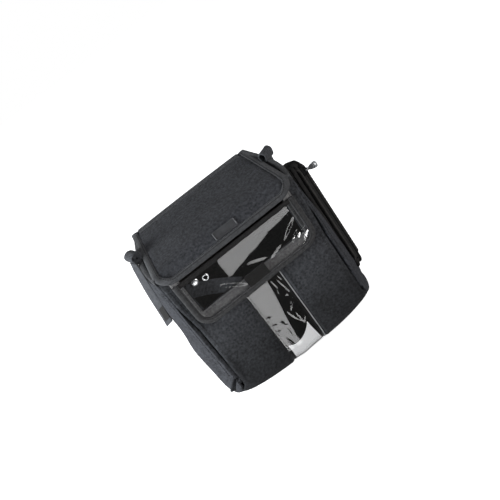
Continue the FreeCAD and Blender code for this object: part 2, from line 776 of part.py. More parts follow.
def hanging_strap():
    strap_ply(d["inner_ply_top"], d["inner_ply_low"], "strap_inner_ply")
    strap_ply(d["outer_ply_top"], d["outer_ply_low"], "strap_outer_ply")
    strap_patch(-121.1, 1.8, "strap_hook_patch")
    strap_patch(-123.6, 2.8, "strap_loop_patch")


# ---------------------------------------------------------------- build, check and write

def build():
    back_panel()
    front_panels()
    front_window_strip()
    strip_edge_tapes()
    gussets()
    seam_bindings()
    mouth_binding()
    mouth_loop_patch()
    right_binding = top_edge_bindings()[1]
    rear_pipings()
    back_hinge_tape()
    strap_loops()
    inner_strap()
    pocket(right_binding)
    pocket_pipings()
    zip_tapes_and_coils()
    zip_stops()
    zip_slider()
    zip_puller()
    lid_pieces()
    lid_hinge_tape()
    lid_badge()
    window_flap()
    hanging_strap()
    doc.recompute()


def check():
    """Stop if anything in the document failed or a sub-part isn't a sound solid."""
    for thing in doc.Objects:
        if {"Invalid", "Error"} & set(thing.State):
            raise RuntimeError(f"{thing.Label} failed: {thing.State}")
    for thing in NODES:
        if thing.Shape.isNull() or not thing.Shape.isValid() or not thing.Shape.Solids:
            raise RuntimeError(f"{thing.Label} has no sound solid")


def write():
    os.makedirs("parts", exist_ok=True)
    for thing in NODES:
        thing.Shape.exportStep(f"parts/{thing.Label}.step")
        bounds = thing.Shape.BoundBox
        size = f"{bounds.XLength:.1f} x {bounds.YLength:.1f} x {bounds.ZLength:.1f}"
        print(f"{thing.Label}: {len(thing.Shape.Solids)} solid(s), {size} mm, {thing.Shape.Volume:.0f} mm3")
    print(len(NODES), "sub-parts")


build()
check()
write()
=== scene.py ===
"""Looks of the padded carrying case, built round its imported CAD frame.

Mesh code works in millimetres in the frame's own axes: X across the front, Y from front to back, Z up.
"""
import math

import bmesh
import bpy
import numpy as np
from mathutils import Matrix, Vector

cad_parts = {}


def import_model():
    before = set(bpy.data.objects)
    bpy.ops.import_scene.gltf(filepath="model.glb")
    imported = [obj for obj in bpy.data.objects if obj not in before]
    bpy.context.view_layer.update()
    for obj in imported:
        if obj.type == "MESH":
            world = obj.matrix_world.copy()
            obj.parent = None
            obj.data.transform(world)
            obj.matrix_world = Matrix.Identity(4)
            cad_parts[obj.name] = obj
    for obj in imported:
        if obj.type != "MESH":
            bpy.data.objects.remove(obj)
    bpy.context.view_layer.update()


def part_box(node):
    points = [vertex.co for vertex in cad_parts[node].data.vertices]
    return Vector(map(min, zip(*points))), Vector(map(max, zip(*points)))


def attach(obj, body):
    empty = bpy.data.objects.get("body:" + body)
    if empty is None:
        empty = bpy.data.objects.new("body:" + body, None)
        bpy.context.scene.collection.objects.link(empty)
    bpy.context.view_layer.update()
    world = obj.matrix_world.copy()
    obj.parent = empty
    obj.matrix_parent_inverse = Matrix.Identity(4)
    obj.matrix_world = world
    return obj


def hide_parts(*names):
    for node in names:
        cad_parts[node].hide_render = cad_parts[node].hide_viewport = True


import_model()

MM = 0.001
TURN = 2 * math.pi


def box(name):
    """Lowest and highest corner of a CAD node, in millimetres."""
    low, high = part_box(name)
    return np.array(low) / MM, np.array(high) / MM


# ---------------------------------------------------------------- driving dimensions, from the frame

_, gusset_high = box("gusset_right")
_, back_high = box("back_panel")
_, panel_high = box("front_panel_right")
_, strip_high = box("front_window_strip")
mouth_low, mouth_high = box("mouth_binding")
lid_low, lid_high = box("lid_panel")
flap_low, flap_high = box("window_binding")
pocket_low, pocket_high = box("pocket_shell")

DEPTH = gusset_high[1]                 # half the depth of the shell
SIDE = gusset_high[0]                  # half the width at the gussets' fullest part
BACK_X = back_high[0]                  # half the width of the back
SEAM_X = 105.0                         # half the width between the front seams
BACK_TOP = back_high[2]
BASE_SEAM = panel_high[1]              # where the front panels meet the back panel under the base
FOAM = 4.0                             # thickness of the foam laminate
FRONT_ROUND, BACK_ROUND = 38.0, 12.0   # radii of the front and back lower edges
BASE_FLAT = 40.0                       # half the width of the flat of the base
CORNER_RISE = 22.0                     # how far the base curves up at the gussets
TAPER_Z, TAPER = 100.0, 14.0 / 190.0   # the gussets draw in above this height, by this slope
SHOULDER_Z, SHOULDER = 205.0, 46.0     # and round over to their top edges above this one
TOP_SLOPE = (BACK_TOP - panel_high[2]) / (DEPTH * 2 - FOAM)
MOUTH_Z = strip_high[2]
MOUTH_X = mouth_high[0] - 12.0
STRIP_X = strip_high[0]
EDGE = (0.5, 1.2, 2.2, 3.5, 5.5, 8.0)  # where a padded edge needs rows of points, from its border


# ---------------------------------------------------------------- small maths

def lerp(a, b, t):
    return a + (b - a) * t


def ease(t):
    t = np.clip(t, 0, 1)
    return t * t * (3 - 2 * t)


def unit(v):
    v = np.asarray(v, float)
    return v / np.maximum(np.linalg.norm(v, axis=-1, keepdims=True), 1e-9)


def join(*parts):
    """Points from their coordinates; a plain number spreads over the arrays beside it."""
    return np.stack(np.broadcast_arrays(*parts), axis=-1)


def around(count):
    """The angles of a ring of so many points."""
    return np.arange(count) * TURN / count


def wobble(a, b, scale, seed):
    """Smooth unevenness, about -1 to 1, over two coordinates in millimetres."""
    random = np.random.RandomState(seed)
    total = 0.0
    for _ in range(7):
        angle, phase = random.uniform(0, TURN, 2)
        wave = scale * random.uniform(0.6, 1.6)
        total = total + np.sin((a * math.cos(angle) + b * math.sin(angle)) * TURN / wave + phase)
    return total / 4


def crease(a, b, at, degrees, length, width, height):
    """A ridge at a place, along a direction."""
    c, s = math.cos(math.radians(degrees)), math.sin(math.radians(degrees))
    along = (a - at[0]) * c + (b - at[1]) * s
    across = (b - at[1]) * c - (a - at[0]) * s
    return height * np.exp(-((along / length) ** 2) - (across / width) ** 2)


def fold(y, z, start, end, deep, high):
    """A sharp fold in the cloth along a line: a groove with a raised lip above it."""
    start, end = np.array(start, float), np.array(end, float)
    way = unit(end - start)
    along = (y - start[0]) * way[0] + (z - start[1]) * way[1]
    above = (z - start[1]) * way[0] - (y - start[0]) * way[1]
    inside = ease((along + 3) / 6) * ease((np.linalg.norm(end - start) + 3 - along) / 6)
    return inside * (high * np.exp(-((above - 3.4) / 2.4) ** 2) - deep * np.exp(-(above / 1.7) ** 2))


def spaced(low, high, step, edge=(), also=()):
    """Positions from low to high, closer together at both ends by the edge distances."""
    count = max(2, int(round((high - low) / step)) + 1)
    inside = max(edge) if edge else 0
    found = [x for x in np.linspace(low, high, count) if low + inside < x < high - inside] + [low, high]
    found += [low + e for e in edge] + [high - e for e in edge] + list(also)
    return np.array(sorted(set(np.round(found, 4))))


def grid(a, b):
    """Both coordinates at each crossing of a grid, the first down the rows."""
    return np.meshgrid(a, b, indexing="ij")


def cells(values):
    """Values at the middles of a grid's cells."""
    return (values[:-1, :-1] + values[1:, 1:]) / 2


def roll_off(distance, radius, depth):
    """How far a padded edge rolls inwards at a distance from its border."""
    t = np.clip(distance / radius, 0, 1)
    return depth * (1 - np.sqrt(np.maximum(1 - (1 - t) ** 2, 0)))


def running(path):
    """The distance along a polyline at each of its points."""
    return np.concatenate([[0], np.cumsum(np.linalg.norm(np.diff(path, axis=0), axis=1))])


def read_at(places, along, table):
    """Rows of a table, read between its own rows."""
    return join(*[np.interp(places, along, column) for column in table.T])


def resample(path, step):
    """Points at equal spacing along a polyline."""
    along = running(path)
    return read_at(np.linspace(0, along[-1], max(2, int(round(along[-1] / step)) + 1)), along, path)


def tangents(path, closed=False):
    if closed:
        return unit(np.roll(path, -1, axis=0) - np.roll(path, 1, axis=0))
    return unit(np.gradient(path, axis=0))


def offset(points, distance, out):
    """Points moved off their surface; out gives the side that counts as outwards."""
    normal = unit(np.cross(np.gradient(points, axis=0), np.gradient(points, axis=1)))
    flip = np.sign(np.sum(normal * out, axis=2, keepdims=True))
    return points + normal * np.where(flip == 0, 1, flip) * np.asarray(distance)[..., None]


# ---------------------------------------------------------------- meshes

class Build:
    """Vertices, faces and map coordinates of one piece, gathered from several shapes."""

    def __init__(self):
        self.verts, self.faces, self.maps, self.slots = [], [], [], []
        self.count = 0

    def add(self, verts, faces, maps=None, slots=None):
        verts = np.asarray(verts, float).reshape(-1, 3)
        self.verts.append(verts)
        for i, face in enumerate(faces):
            self.faces.append([index + self.count for index in face])
            self.maps.append(maps[i] if maps is not None else [(verts[k][0], verts[k][2]) for k in face])
            self.slots.append(slots[i] if slots is not None else 0)
        self.count += len(verts)
        return self


def piece(name, build, materials, body, replaces=None, sharp=50):
    """A finished object from a Build, riding on a body."""
    mesh = bpy.data.meshes.new(name)
    mesh.from_pydata((np.concatenate(build.verts) * MM).tolist(), [], build.faces)
    layer = mesh.uv_layers.new(name="Cloth")
    layer.data.foreach_set("uv", [value for face in build.maps for corner in face for value in corner])
    for material in materials if isinstance(materials, list) else [materials]:
        mesh.materials.append(material)
    mesh.polygons.foreach_set("material_index", build.slots)
    mesh.polygons.foreach_set("use_smooth", [True] * len(mesh.polygons))
    work = bmesh.new()
    work.from_mesh(mesh)
    bmesh.ops.delete(work, geom=[v for v in work.verts if not v.link_faces], context="VERTS")
    bmesh.ops.recalc_face_normals(work, faces=work.faces)
    work.to_mesh(mesh)
    work.free()
    mesh.set_sharp_from_angle(angle=math.radians(sharp))
    thing = bpy.data.objects.new(name, mesh)
    bpy.context.scene.collection.objects.link(thing)
    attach(thing, body)
    if replaces:
        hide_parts(replaces)
    return thing


def slab(outer, inner, map_u, map_v, keep=None):
    """A closed solid between two grids of points, mapped by two more, over the kept cells.

    Its inner faces get the second material.
    """
    rows, columns = outer.shape[:2]
    if keep is None:
        keep = np.ones((rows - 1, columns - 1), bool)
    verts = np.concatenate([outer.reshape(-1, 3), inner.reshape(-1, 3)])
    shift = rows * columns
    flat_maps = np.concatenate([join(map_u, map_v).reshape(-1, 2)] * 2)
    faces, slots = [], []
    for i, j in zip(*np.nonzero(keep)):
        a, d = i * columns + j, i * columns + j + 1
        b, c = a + columns, d + columns
        faces += [(a, b, c, d), (a + shift, d + shift, c + shift, b + shift)]
        slots += [0, 1]
        for p, q, ni, nj in ((a, b, i, j - 1), (b, c, i + 1, j), (c, d, i, j + 1), (d, a, i - 1, j)):
            if not (0 <= ni < rows - 1 and 0 <= nj < columns - 1 and keep[ni, nj]):
                faces.append((q, p, p + shift, q + shift))
                slots.append(0)
    return Build().add(verts, faces, [[tuple(flat_maps[k]) for k in face] for face in faces], slots)


def tube_faces(sides, rings, closed=False):
    """Four-sided faces from each ring of points to the next."""
    return [(i * sides + j, i * sides + (j + 1) % sides, k * sides + (j + 1) % sides, k * sides + j)
            for i, k in enumerate([*range(1, rings), 0] if closed else range(1, rings)) for j in range(sides)]


def end_faces(sides, rings):
    return [list(range(sides)), list(range((rings - 1) * sides, rings * sides))]


def rod(build, rings):
    """A closed solid through rings of points."""
    sides, count = len(rings[0]), len(rings)
    return build.add(np.concatenate(rings), tube_faces(sides, count) + end_faces(sides, count))


def sweep(path, side, up, profile, closed=False, scale=1.0, build=None):
    """A closed profile carried along a path; the profile's numbers are along side and up."""
    profile = np.asarray(profile, float)
    side, up = np.broadcast_to(side, path.shape), np.broadcast_to(up, path.shape)
    count, sides = len(path), len(profile)
    size = np.broadcast_to(scale, count)[:, None, None]
    across = side[:, None, :] * profile[None, :, 0, None] * size
    lift = up[:, None, :] * profile[None, :, 1, None] * size
    along, round_it = running(path), running(np.vstack([profile, profile[:1]]))
    faces, maps = tube_faces(sides, count, closed), []
    for i in range(count if closed else count - 1):
        u0, u1 = along[i], along[i + 1] if i + 1 < count else along[-1] + np.linalg.norm(path[0] - path[-1])
        maps += [[(u0, v0), (u0, v1), (u1, v1), (u1, v0)] for v0, v1 in zip(round_it, round_it[1:])]
    if not closed:
        faces += end_faces(sides, count)
        maps += [[tuple(p) for p in profile]] * 2
    return (build or Build()).add(path[:, None, :] + across + lift, faces, maps)


def circle_profile(radius, count):
    return join(np.cos(around(count)) * radius, np.sin(around(count)) * radius)


STITCH = [(-1.0, 0.15, -0.45), (-0.8, 0.75, -0.15), (0.0, 1.0, 0.12), (0.8, 0.75, -0.15), (1.0, 0.15, -0.45)]


def stitched(name, rows, material, body, pitch=3.4, length=2.5, radius=0.36):
    """Rows of thread stitches, each a path and its upward side; a stitch is an arch that dips into the cloth."""
    build = Build()
    cos, sin = np.cos(around(6))[:, None], np.sin(around(6))[:, None]
    for path, up in rows:
        both = resample(np.hstack([path, np.broadcast_to(up, path.shape)]), pitch)
        places, ups = both[:, :3], unit(both[:, 3:])
        along = tangents(places)
        side = unit(np.cross(along, ups))
        for place, t, u, w in zip(places[1:-1], along[1:-1], ups[1:-1], side[1:-1]):
            rod(build, [place + t * at * length / 2 + u * lift * radius * 1.6 + (cos * w + sin * u) * radius * fat
                        for at, fat, lift in STITCH])
    piece(name, build, material, body)


def tape_section(width, half, proud, wrap):
    """Section of a tape folded over an edge. Side is outwards from the edge, up is off the cloth."""
    top = half + proud
    return [
        (-width, half - 0.3), (-width + 0.25, top - 0.25), (-width + 1.2, top), (-width * 0.45, top + 0.2),
        (-1.2, top), (wrap * 0.55, half * 0.85), (wrap, half * 0.3), (wrap, -half * 0.3),
        (wrap * 0.55, -half * 0.85), (-1.2, -top), (-width * 0.45, -top - 0.2), (-width + 1.2, -top),
        (-width + 0.25, -top + 0.25), (-width, 0.3 - half),
    ]


# ---------------------------------------------------------------- materials

def shade(colour, amount):
    return tuple(min(1.0, c * amount) for c in colour)


class Look:
    """A material under construction, whose nodes feed its Principled shader."""

    def __init__(self, name):
        self.material = bpy.data.materials.new(name)
        self.material.use_nodes = True
        self.tree = self.material.node_tree
        self.shader = self.tree.nodes["Principled BSDF"]
        self.place = self.add("ShaderNodeTexCoord").outputs["Object"]

    def feed(self, node, inputs):
        """Link or set a node's inputs."""
        for key, value in inputs.items():
            if isinstance(value, bpy.types.NodeSocket):
                self.tree.links.new(value, node.inputs[key])
            else:
                node.inputs[key].default_value = value
        return node

    def add(self, kind, inputs=None, **settings):
        made = self.tree.nodes.new(kind)
        for key, value in settings.items():
            setattr(made, key, value)
        return self.feed(made, inputs or {})

    def noise(self, scale, detail, **more):
        inputs = {"Vector": self.place, "Scale": scale, "Detail": detail, **more}
        return self.add("ShaderNodeTexNoise", inputs).outputs["Fac"]

    def math(self, operation, *values):
        return self.add("ShaderNodeMath", dict(enumerate(values)), operation=operation).outputs["Value"]

    def spread(self, value, low, high):
        return self.add("ShaderNodeMapRange", {"Value": value, "To Min": low, "To Max": high}).outputs["Result"]

    def tones(self, factor, dark, light):
        ramp = self.add("ShaderNodeValToRGB", {"Fac": factor})
        for stop, colour, position in zip(ramp.color_ramp.elements, (dark, light), (0.3, 0.7)):
            stop.color, stop.position = (*colour, 1), position
        return ramp.outputs["Color"]

    def bump(self, height, strength, distance):
        inputs = {"Strength": strength, "Distance": distance, "Height": height}
        return self.add("ShaderNodeBump", inputs).outputs["Normal"]

    def finish(self, colour, normal, roughness, **more):
        """Set the shader's inputs; underscores stand for the spaces in their names."""
        named = {key.replace("_", " "): value for key, value in more.items()}
        self.feed(self.shader, {"Base Color": colour, "Normal": normal, "Roughness": roughness, **named})
        return self.material


PAINTED_SHADE_STOPS = ((0.18, 0.95), (0.40, 0.42), (0.62, 0.50))    # share of the height of the painted shade, and the brightness painted there


def cloth(name, colour, thread, depth, contrast, sheen, ribs=False, painted_shade_height=None):
    """Woven cloth: a weave or ribs over the map, fuzz, and slow unevenness of the dye.

    The last argument is a height in metres below which a band of the cloth is painted darker: painted shade for the
    dimmer light low on the front.
    """
    look = Look(name)
    uv = look.add("ShaderNodeUVMap", uv_map="Cloth").outputs["UV"]
    waves = {"Vector": uv, "Scale": 0.314 / thread, "Distortion": 0.6, "Detail": 1.0}
    weave = look.add("ShaderNodeTexWave", waves, wave_type="BANDS", bands_direction="X").outputs["Fac"]
    if not ribs:
        weft = look.add("ShaderNodeTexWave", waves, wave_type="BANDS", bands_direction="Y").outputs["Fac"]
        weave = look.math("MULTIPLY", weave, weft)
    fuzz, specks = look.noise(620.0, 3.0), look.noise(300.0, 2.0)
    slow = look.noise(26.0, 4.0, Roughness=0.6)
    tone = look.math("MULTIPLY", fuzz, 0.2)
    for pattern, share in ((specks, 0.6), (weave, 0.1), (slow, 0.18)):
        tone = look.math("MULTIPLY_ADD", pattern, share, tone)
    dyed = look.tones(tone, shade(colour, 1 - contrast * 2), shade(colour, 1 + contrast * 2))
    # painted shade: a darker band low on the cloth, standing for the dimmer light there
    if painted_shade_height:
        level = look.add("ShaderNodeSeparateXYZ", {"Vector": look.place}).outputs["Z"]
        level = look.math("DIVIDE", look.math("MULTIPLY_ADD", slow, 0.03, level), painted_shade_height)
        band = look.add("ShaderNodeValToRGB", {"Fac": level})
        for position, value in PAINTED_SHADE_STOPS:
            band.color_ramp.elements.new(position).color = (value, value, value, 1)
        for end in (0, -1):
            band.color_ramp.elements[end].color = (1, 1, 1, 1)
        dyed = look.add("ShaderNodeVectorMath", {0: dyed, 1: band.outputs["Color"]},
                        operation="MULTIPLY").outputs["Vector"]
    normal = look.bump(look.math("MULTIPLY_ADD", fuzz, 0.3, weave), depth, 0.0006)
    return look.finish(dyed, normal, look.spread(slow, 0.82, 0.96), Sheen_Weight=sheen, Sheen_Roughness=0.45,
                       Specular_IOR_Level=0.25)


def pile(name, colour, scale, depth):
    """Hook or loop pile: a field of small dark cells with fuzz between them."""
    look = Look(name)
    spots = look.add("ShaderNodeTexVoronoi", {"Vector": look.place, "Scale": scale, "Randomness": 0.8})
    fuzz = look.noise(scale * 1.7, 4.0)
    height = look.math("MULTIPLY", spots.outputs["Distance"], fuzz)
    dyed = look.tones(fuzz, shade(colour, 0.35), shade(colour, 2.2))
    return look.finish(dyed, look.bump(height, depth, 0.0012), 0.85, Sheen_Weight=0.02)


def clear_vinyl(name, tint, ior, rough):
    """Thin clear sheet: what is behind it, with a mirror film that grows at glancing angles."""
    look = Look(name)
    bump = look.bump(look.noise(38.0, 3.0), 0.1, 0.0006)
    through = look.add("ShaderNodeBsdfTransparent", {"Color": (*tint, 1)}).outputs["BSDF"]
    dull = look.spread(look.noise(210.0, 2.0), rough * 0.6, rough * 1.6)
    film = look.add("ShaderNodeBsdfGlossy", {"Color": (1, 1, 1, 1), "Normal": bump, "Roughness": dull})
    behind = look.add("ShaderNodeNewGeometry").outputs["Backfacing"]
    share = look.add("ShaderNodeFresnel", {"IOR": look.spread(behind, ior, 1 / ior), "Normal": bump})
    mixed = look.add("ShaderNodeMixShader", {"Fac": share.outputs["Fac"], 1: through, 2: film.outputs["BSDF"]})
    look.feed(look.tree.nodes["Material Output"], {"Surface": mixed.outputs["Shader"]})
    look.tree.nodes.remove(look.shader)
    return look.material


def metal(name, colour, rough, metallic=1.0):
    look = Look(name)
    stretched = look.add("ShaderNodeMapping", {"Vector": look.place, "Scale": (400.0, 400.0, 4000.0)})
    brushed = look.noise(1.0, 3.0, Vector=stretched.outputs["Vector"])
    tone = look.tones(look.noise(300.0, 3.0), shade(colour, 0.85), shade(colour, 1.08))
    dull = look.spread(brushed, rough * 0.7, rough * 1.5)
    return look.finish(tone, look.bump(brushed, 0.12, 0.0002), dull, Metallic=metallic)


def rubber(name, colour):
    look = Look(name)
    pebble = look.add("ShaderNodeTexVoronoi", {"Vector": look.place, "Scale": 900.0}).outputs["Distance"]
    tone = look.tones(look.noise(120.0, 3.0), shade(colour, 0.8), shade(colour, 1.25))
    return look.finish(tone, look.bump(pebble, 0.3, 0.0003), 0.6)


# thread width, depth of the weave, contrast and sheen follow each cloth's colour
FABRIC = cloth("foam_fabric", (0.0355, 0.037, 0.0425), 1.0, 0.6, 0.42, 0.04)
# the front cloth carries a band of painted shade low down
FRONT_FABRIC = cloth("front_fabric", (0.0365, 0.038, 0.0425), 1.0, 0.6, 0.42, 0.04, painted_shade_height=0.125)
POCKET = cloth("pocket_cloth", (0.015, 0.0142, 0.0142), 0.9, 0.45, 0.25, 0.02)
LINING = cloth("lining_cloth", (0.022, 0.019, 0.017), 0.8, 0.25, 0.25, 0.02)
ZIP_TAPE = cloth("zip_tape", (0.008, 0.008, 0.008), 0.8, 0.4, 0.2, 0.02)
FLAP_TAPE = cloth("flap_tape", (0.045, 0.0445, 0.046), 1.5, 0.7, 0.25, 0.04, ribs=True)
TAPE = cloth("binding_tape", (0.060, 0.061, 0.065), 1.5, 0.7, 0.2, 0.06, ribs=True)
# painted light: the mouth tape is much lighter than the other binding tape, to make up for the shade of the lid and
# the clear flap over it
MOUTH_TAPE = cloth("mouth_tape", (0.165, 0.162, 0.162), 1.5, 0.7, 0.25, 0.04, ribs=True)
PIPING = cloth("pocket_piping", (0.034, 0.032, 0.031), 1.3, 0.6, 0.2, 0.04, ribs=True)
WEB = cloth("webbing", (0.053, 0.055, 0.061), 1.8, 0.9, 0.25, 0.06, ribs=True)
DARK_TAPE = cloth("dark_tape", (0.014, 0.013, 0.013), 1.3, 0.6, 0.2, 0.03, ribs=True)
THREAD = cloth("thread", (0.075, 0.077, 0.082), 0.5, 0.3, 0.2, 0.05, ribs=True)
DARK_THREAD = cloth("dark_thread", (0.014, 0.014, 0.015), 0.5, 0.3, 0.16, 0.03, ribs=True)
HOOK = pile("hook_pile", (0.0045, 0.004, 0.004), 700.0, 0.9)
LOOP = pile("loop_pile", (0.006, 0.0055, 0.005), 500.0, 0.8)
VINYL = clear_vinyl("clear_vinyl", (0.95, 0.952, 0.955), 1.5, 0.02)
RAW_EDGE = rubber("vinyl_edge", (0.30, 0.31, 0.32))
BADGE = rubber("badge_rubber", (0.045, 0.046, 0.050))
COIL = rubber("zip_coil", (0.012, 0.012, 0.012))
BRIGHT = metal("plated_metal", (0.80, 0.81, 0.82), 0.22)
SATIN = metal("satin_metal", (0.66, 0.67, 0.68), 0.42, 0.6)
BLACK_METAL = metal("dark_metal", (0.02, 0.02, 0.021), 0.35, 0.6)


# ---------------------------------------------------------------- the shell's form

SIDES = (("left", -1), ("right", 1))
X_WAY, Y_WAY, Z_WAY = np.eye(3)
GUSSET_BULGE = SIDE - (SEAM_X + BACK_X) / 2
PLAN_RADIUS = (DEPTH ** 2 + GUSSET_BULGE ** 2) / (2 * GUSSET_BULGE)
BASE_RADIUS = ((SIDE - BASE_FLAT) ** 2 + CORNER_RISE ** 2) / (2 * CORNER_RISE)
FOOT_Z = 30.0                # the height whose outline the base follows


def back_x(z):
    """Half the width of the back, which draws in towards its top."""
    return BACK_X - 8.0 * ease((z - 130) / 120)


def side_x(y, z):
    """Half the shell's width at a depth and a height."""
    y = np.clip(y, -DEPTH, DEPTH)
    chord = lerp(SEAM_X, back_x(z), (y + DEPTH) / (2 * DEPTH))
    drop = PLAN_RADIUS - GUSSET_BULGE
    arc = (np.sqrt(PLAN_RADIUS ** 2 - y ** 2) - drop) / GUSSET_BULGE
    bulge = GUSSET_BULGE - np.maximum(z - TAPER_Z, 0) * TAPER
    bulge = bulge * np.sqrt(np.clip(1 - (np.maximum(z - SHOULDER_Z, 0) / SHOULDER) ** 2, 0.04, 1))
    tuck = 2.5 * np.clip((50 - z) / 50, 0, 1) ** 2
    return chord + (bulge - tuck) * arc


def base_z(x):
    """Height of the base over the ground at a distance from the middle."""
    out = np.maximum(np.abs(x) - BASE_FLAT, 0)
    return BASE_RADIUS - np.sqrt(BASE_RADIUS ** 2 - out ** 2)


def top_z(y):
    return BACK_TOP - (DEPTH - y) * TOP_SLOPE


def edge_profile(s, top, radius, run):
    """Depth and height along a J: down a wall, round its lower edge and along the base."""
    wall, bend = top - radius, radius * math.pi / 2
    turn = np.clip((s - wall) / radius, 0, math.pi / 2)
    depth = -DEPTH + radius * (1 - np.cos(turn)) + np.clip(s - wall - bend, 0, run)
    height = np.where(s < wall, top - s, radius * (1 - np.sin(turn)))
    return depth, height


def edge_outwards(depth, height, radius):
    """The outward side of a J; depth grows from its wall, which faces the front."""
    on_base = height < radius
    y = np.where(on_base, np.minimum(depth + DEPTH - radius, 0), -1)
    return y, np.where(on_base, height - radius, 0)


def corner_lift(x, y):
    """How much further the front lower corners are pulled up by their seams."""
    out = np.abs(x)
    pull = 11.0 * np.clip((out - 20) / 87, 0, 1) ** 1.6 - 6.0 * ease((out - 107) / 12)
    return pull * (1 - ease((y + 25) / 40))


def soften(x, height, radius):
    """Lift the lower edge where the base curves up towards the gussets."""
    lift = base_z(x)
    low = np.sqrt(height ** 2 + lift ** 2)
    fade = height + (np.sqrt(radius ** 2 + lift ** 2) - radius) * np.exp(-(height - radius) / 20)
    return np.where(height <= radius, low, fade)


FRONT_TOP = top_z(-DEPTH)
FRONT_WALL = FRONT_TOP - FRONT_ROUND
FRONT_RUN = BASE_SEAM + DEPTH - FRONT_ROUND
J_LENGTH = FRONT_WALL + FRONT_ROUND * math.pi / 2 + BASE_SEAM + DEPTH - FRONT_ROUND
S_MOUTH = FRONT_TOP - MOUTH_Z          # the mouth's lower edge, down the J


def front_surface(x, s):
    """Places on the front and base, over x and the distance down the J, their outward sides and heights."""
    x, s = np.broadcast_arrays(x, s)
    depth, height = edge_profile(s, FRONT_TOP, FRONT_ROUND, FRONT_RUN)
    z = soften(x, height, FRONT_ROUND) + corner_lift(x, depth) * np.exp(-height / 30)
    return join(x, depth, z), unit(join(0, *edge_outwards(depth, height, FRONT_ROUND))), height


def front_crown(u, height):
    """How far a front panel's padding stands out at a share of its width; the flap presses it flat."""
    free = 1 - ease((height - 118) / 26)
    return 3.4 * np.maximum(4 * u * (1 - u), 0) ** 0.6 * ease(height / 30) * free


def seam_pull(z):
    """How deep the front seams draw the padding in, less towards the base."""
    return 0.3 + 0.7 * ease((z - 55) / 50)


def gusset_foot(y):
    """Height of the seam between a gusset and the base."""
    front, back = [radius - np.sqrt(np.maximum(radius ** 2 - past ** 2, 0)) for radius, past in (
        (FRONT_ROUND, np.minimum(y + DEPTH - FRONT_ROUND, 0)), (BACK_ROUND, np.maximum(y - DEPTH + BACK_ROUND, 0)))]
    outer = side_x(y, FOOT_Z)
    lifted = corner_lift(outer, y) * np.exp(-front / 30)
    return np.sqrt(np.maximum(front, back) ** 2 + base_z(outer) ** 2) + lifted


WRAP = {-1: 4.5, 1: 2.6}     # the gussets' wrap onto the front, at the left and the right


def flange(side, z):
    """How far a gusset wraps round onto the front before its seam."""
    return WRAP[side] * ease((195 - z) / 60) * ease((z - 12) / 26) + 0.6


def front_panel(name, side):
    """One J-shaped padded panel: crowned, rolled at its edges and puckered by its seams."""
    width = SEAM_X - STRIP_X
    u_mouth = (MOUTH_X - STRIP_X) / width
    u = spaced(0, width, 2.6, EDGE, [u_mouth * width]) / width
    ss, uu = grid(spaced(0, J_LENGTH, 3.2, EDGE, [S_MOUTH]), u)
    depth, height = edge_profile(ss, FRONT_TOP, FRONT_ROUND, FRONT_RUN)
    seam = np.where(height > FRONT_ROUND, SEAM_X, side_x(depth, FOOT_Z)) - flange(side, height) - 0.5
    x = lerp(STRIP_X - 1.5 * (side < 0), seam, uu) * side
    points, out, height = front_surface(x, ss)
    to_strip, to_seam, off_base = np.abs(x) - STRIP_X, seam - np.abs(x), ease(height / 30)
    pucker = 0.35 * np.sin(ss * TURN / 7.5) * (np.exp(-to_strip / 5) + np.exp(-to_seam / 5)) * off_base
    sag = wobble(x, ss, 70, 3 + side) * 0.9 * off_base * ease(np.minimum(to_strip, to_seam) / 12)
    rolled = roll_off(to_strip, 3.6, 2.6) + roll_off(to_seam, 3.4, 3.0) * seam_pull(height)
    outer = offset(points, front_crown(uu, height) + pucker + sag - rolled, out)
    keep = ~((cells(uu) < u_mouth) & (cells(ss) < S_MOUTH))
    made = piece(f"front_panel_{name}_padded", slab(outer, offset(points, -FOAM, out), x, ss, keep),
                 [FRONT_FABRIC, LINING], "case", f"front_panel_{name}")
    rows = []
    by_strip = np.linspace(S_MOUTH, FRONT_WALL + FRONT_ROUND * 1.2, 160)
    by_seam = np.linspace(8, FRONT_WALL + 8, 160)
    seam_row = SEAM_X - 6.5 - flange(side, FRONT_TOP - by_seam)
    for x, s, inset, lift in ((STRIP_X + 5.0, by_strip, 5.0, 0.12), (seam_row, by_seam, 6.5, 0.1)):
        line, up, height = front_surface(x * side, s)
        rows.append((line + up * (front_crown(inset / width, height)[:, None] + lift), up))
    stitched(f"front_panel_{name}_topstitch", rows, DARK_THREAD, "case")


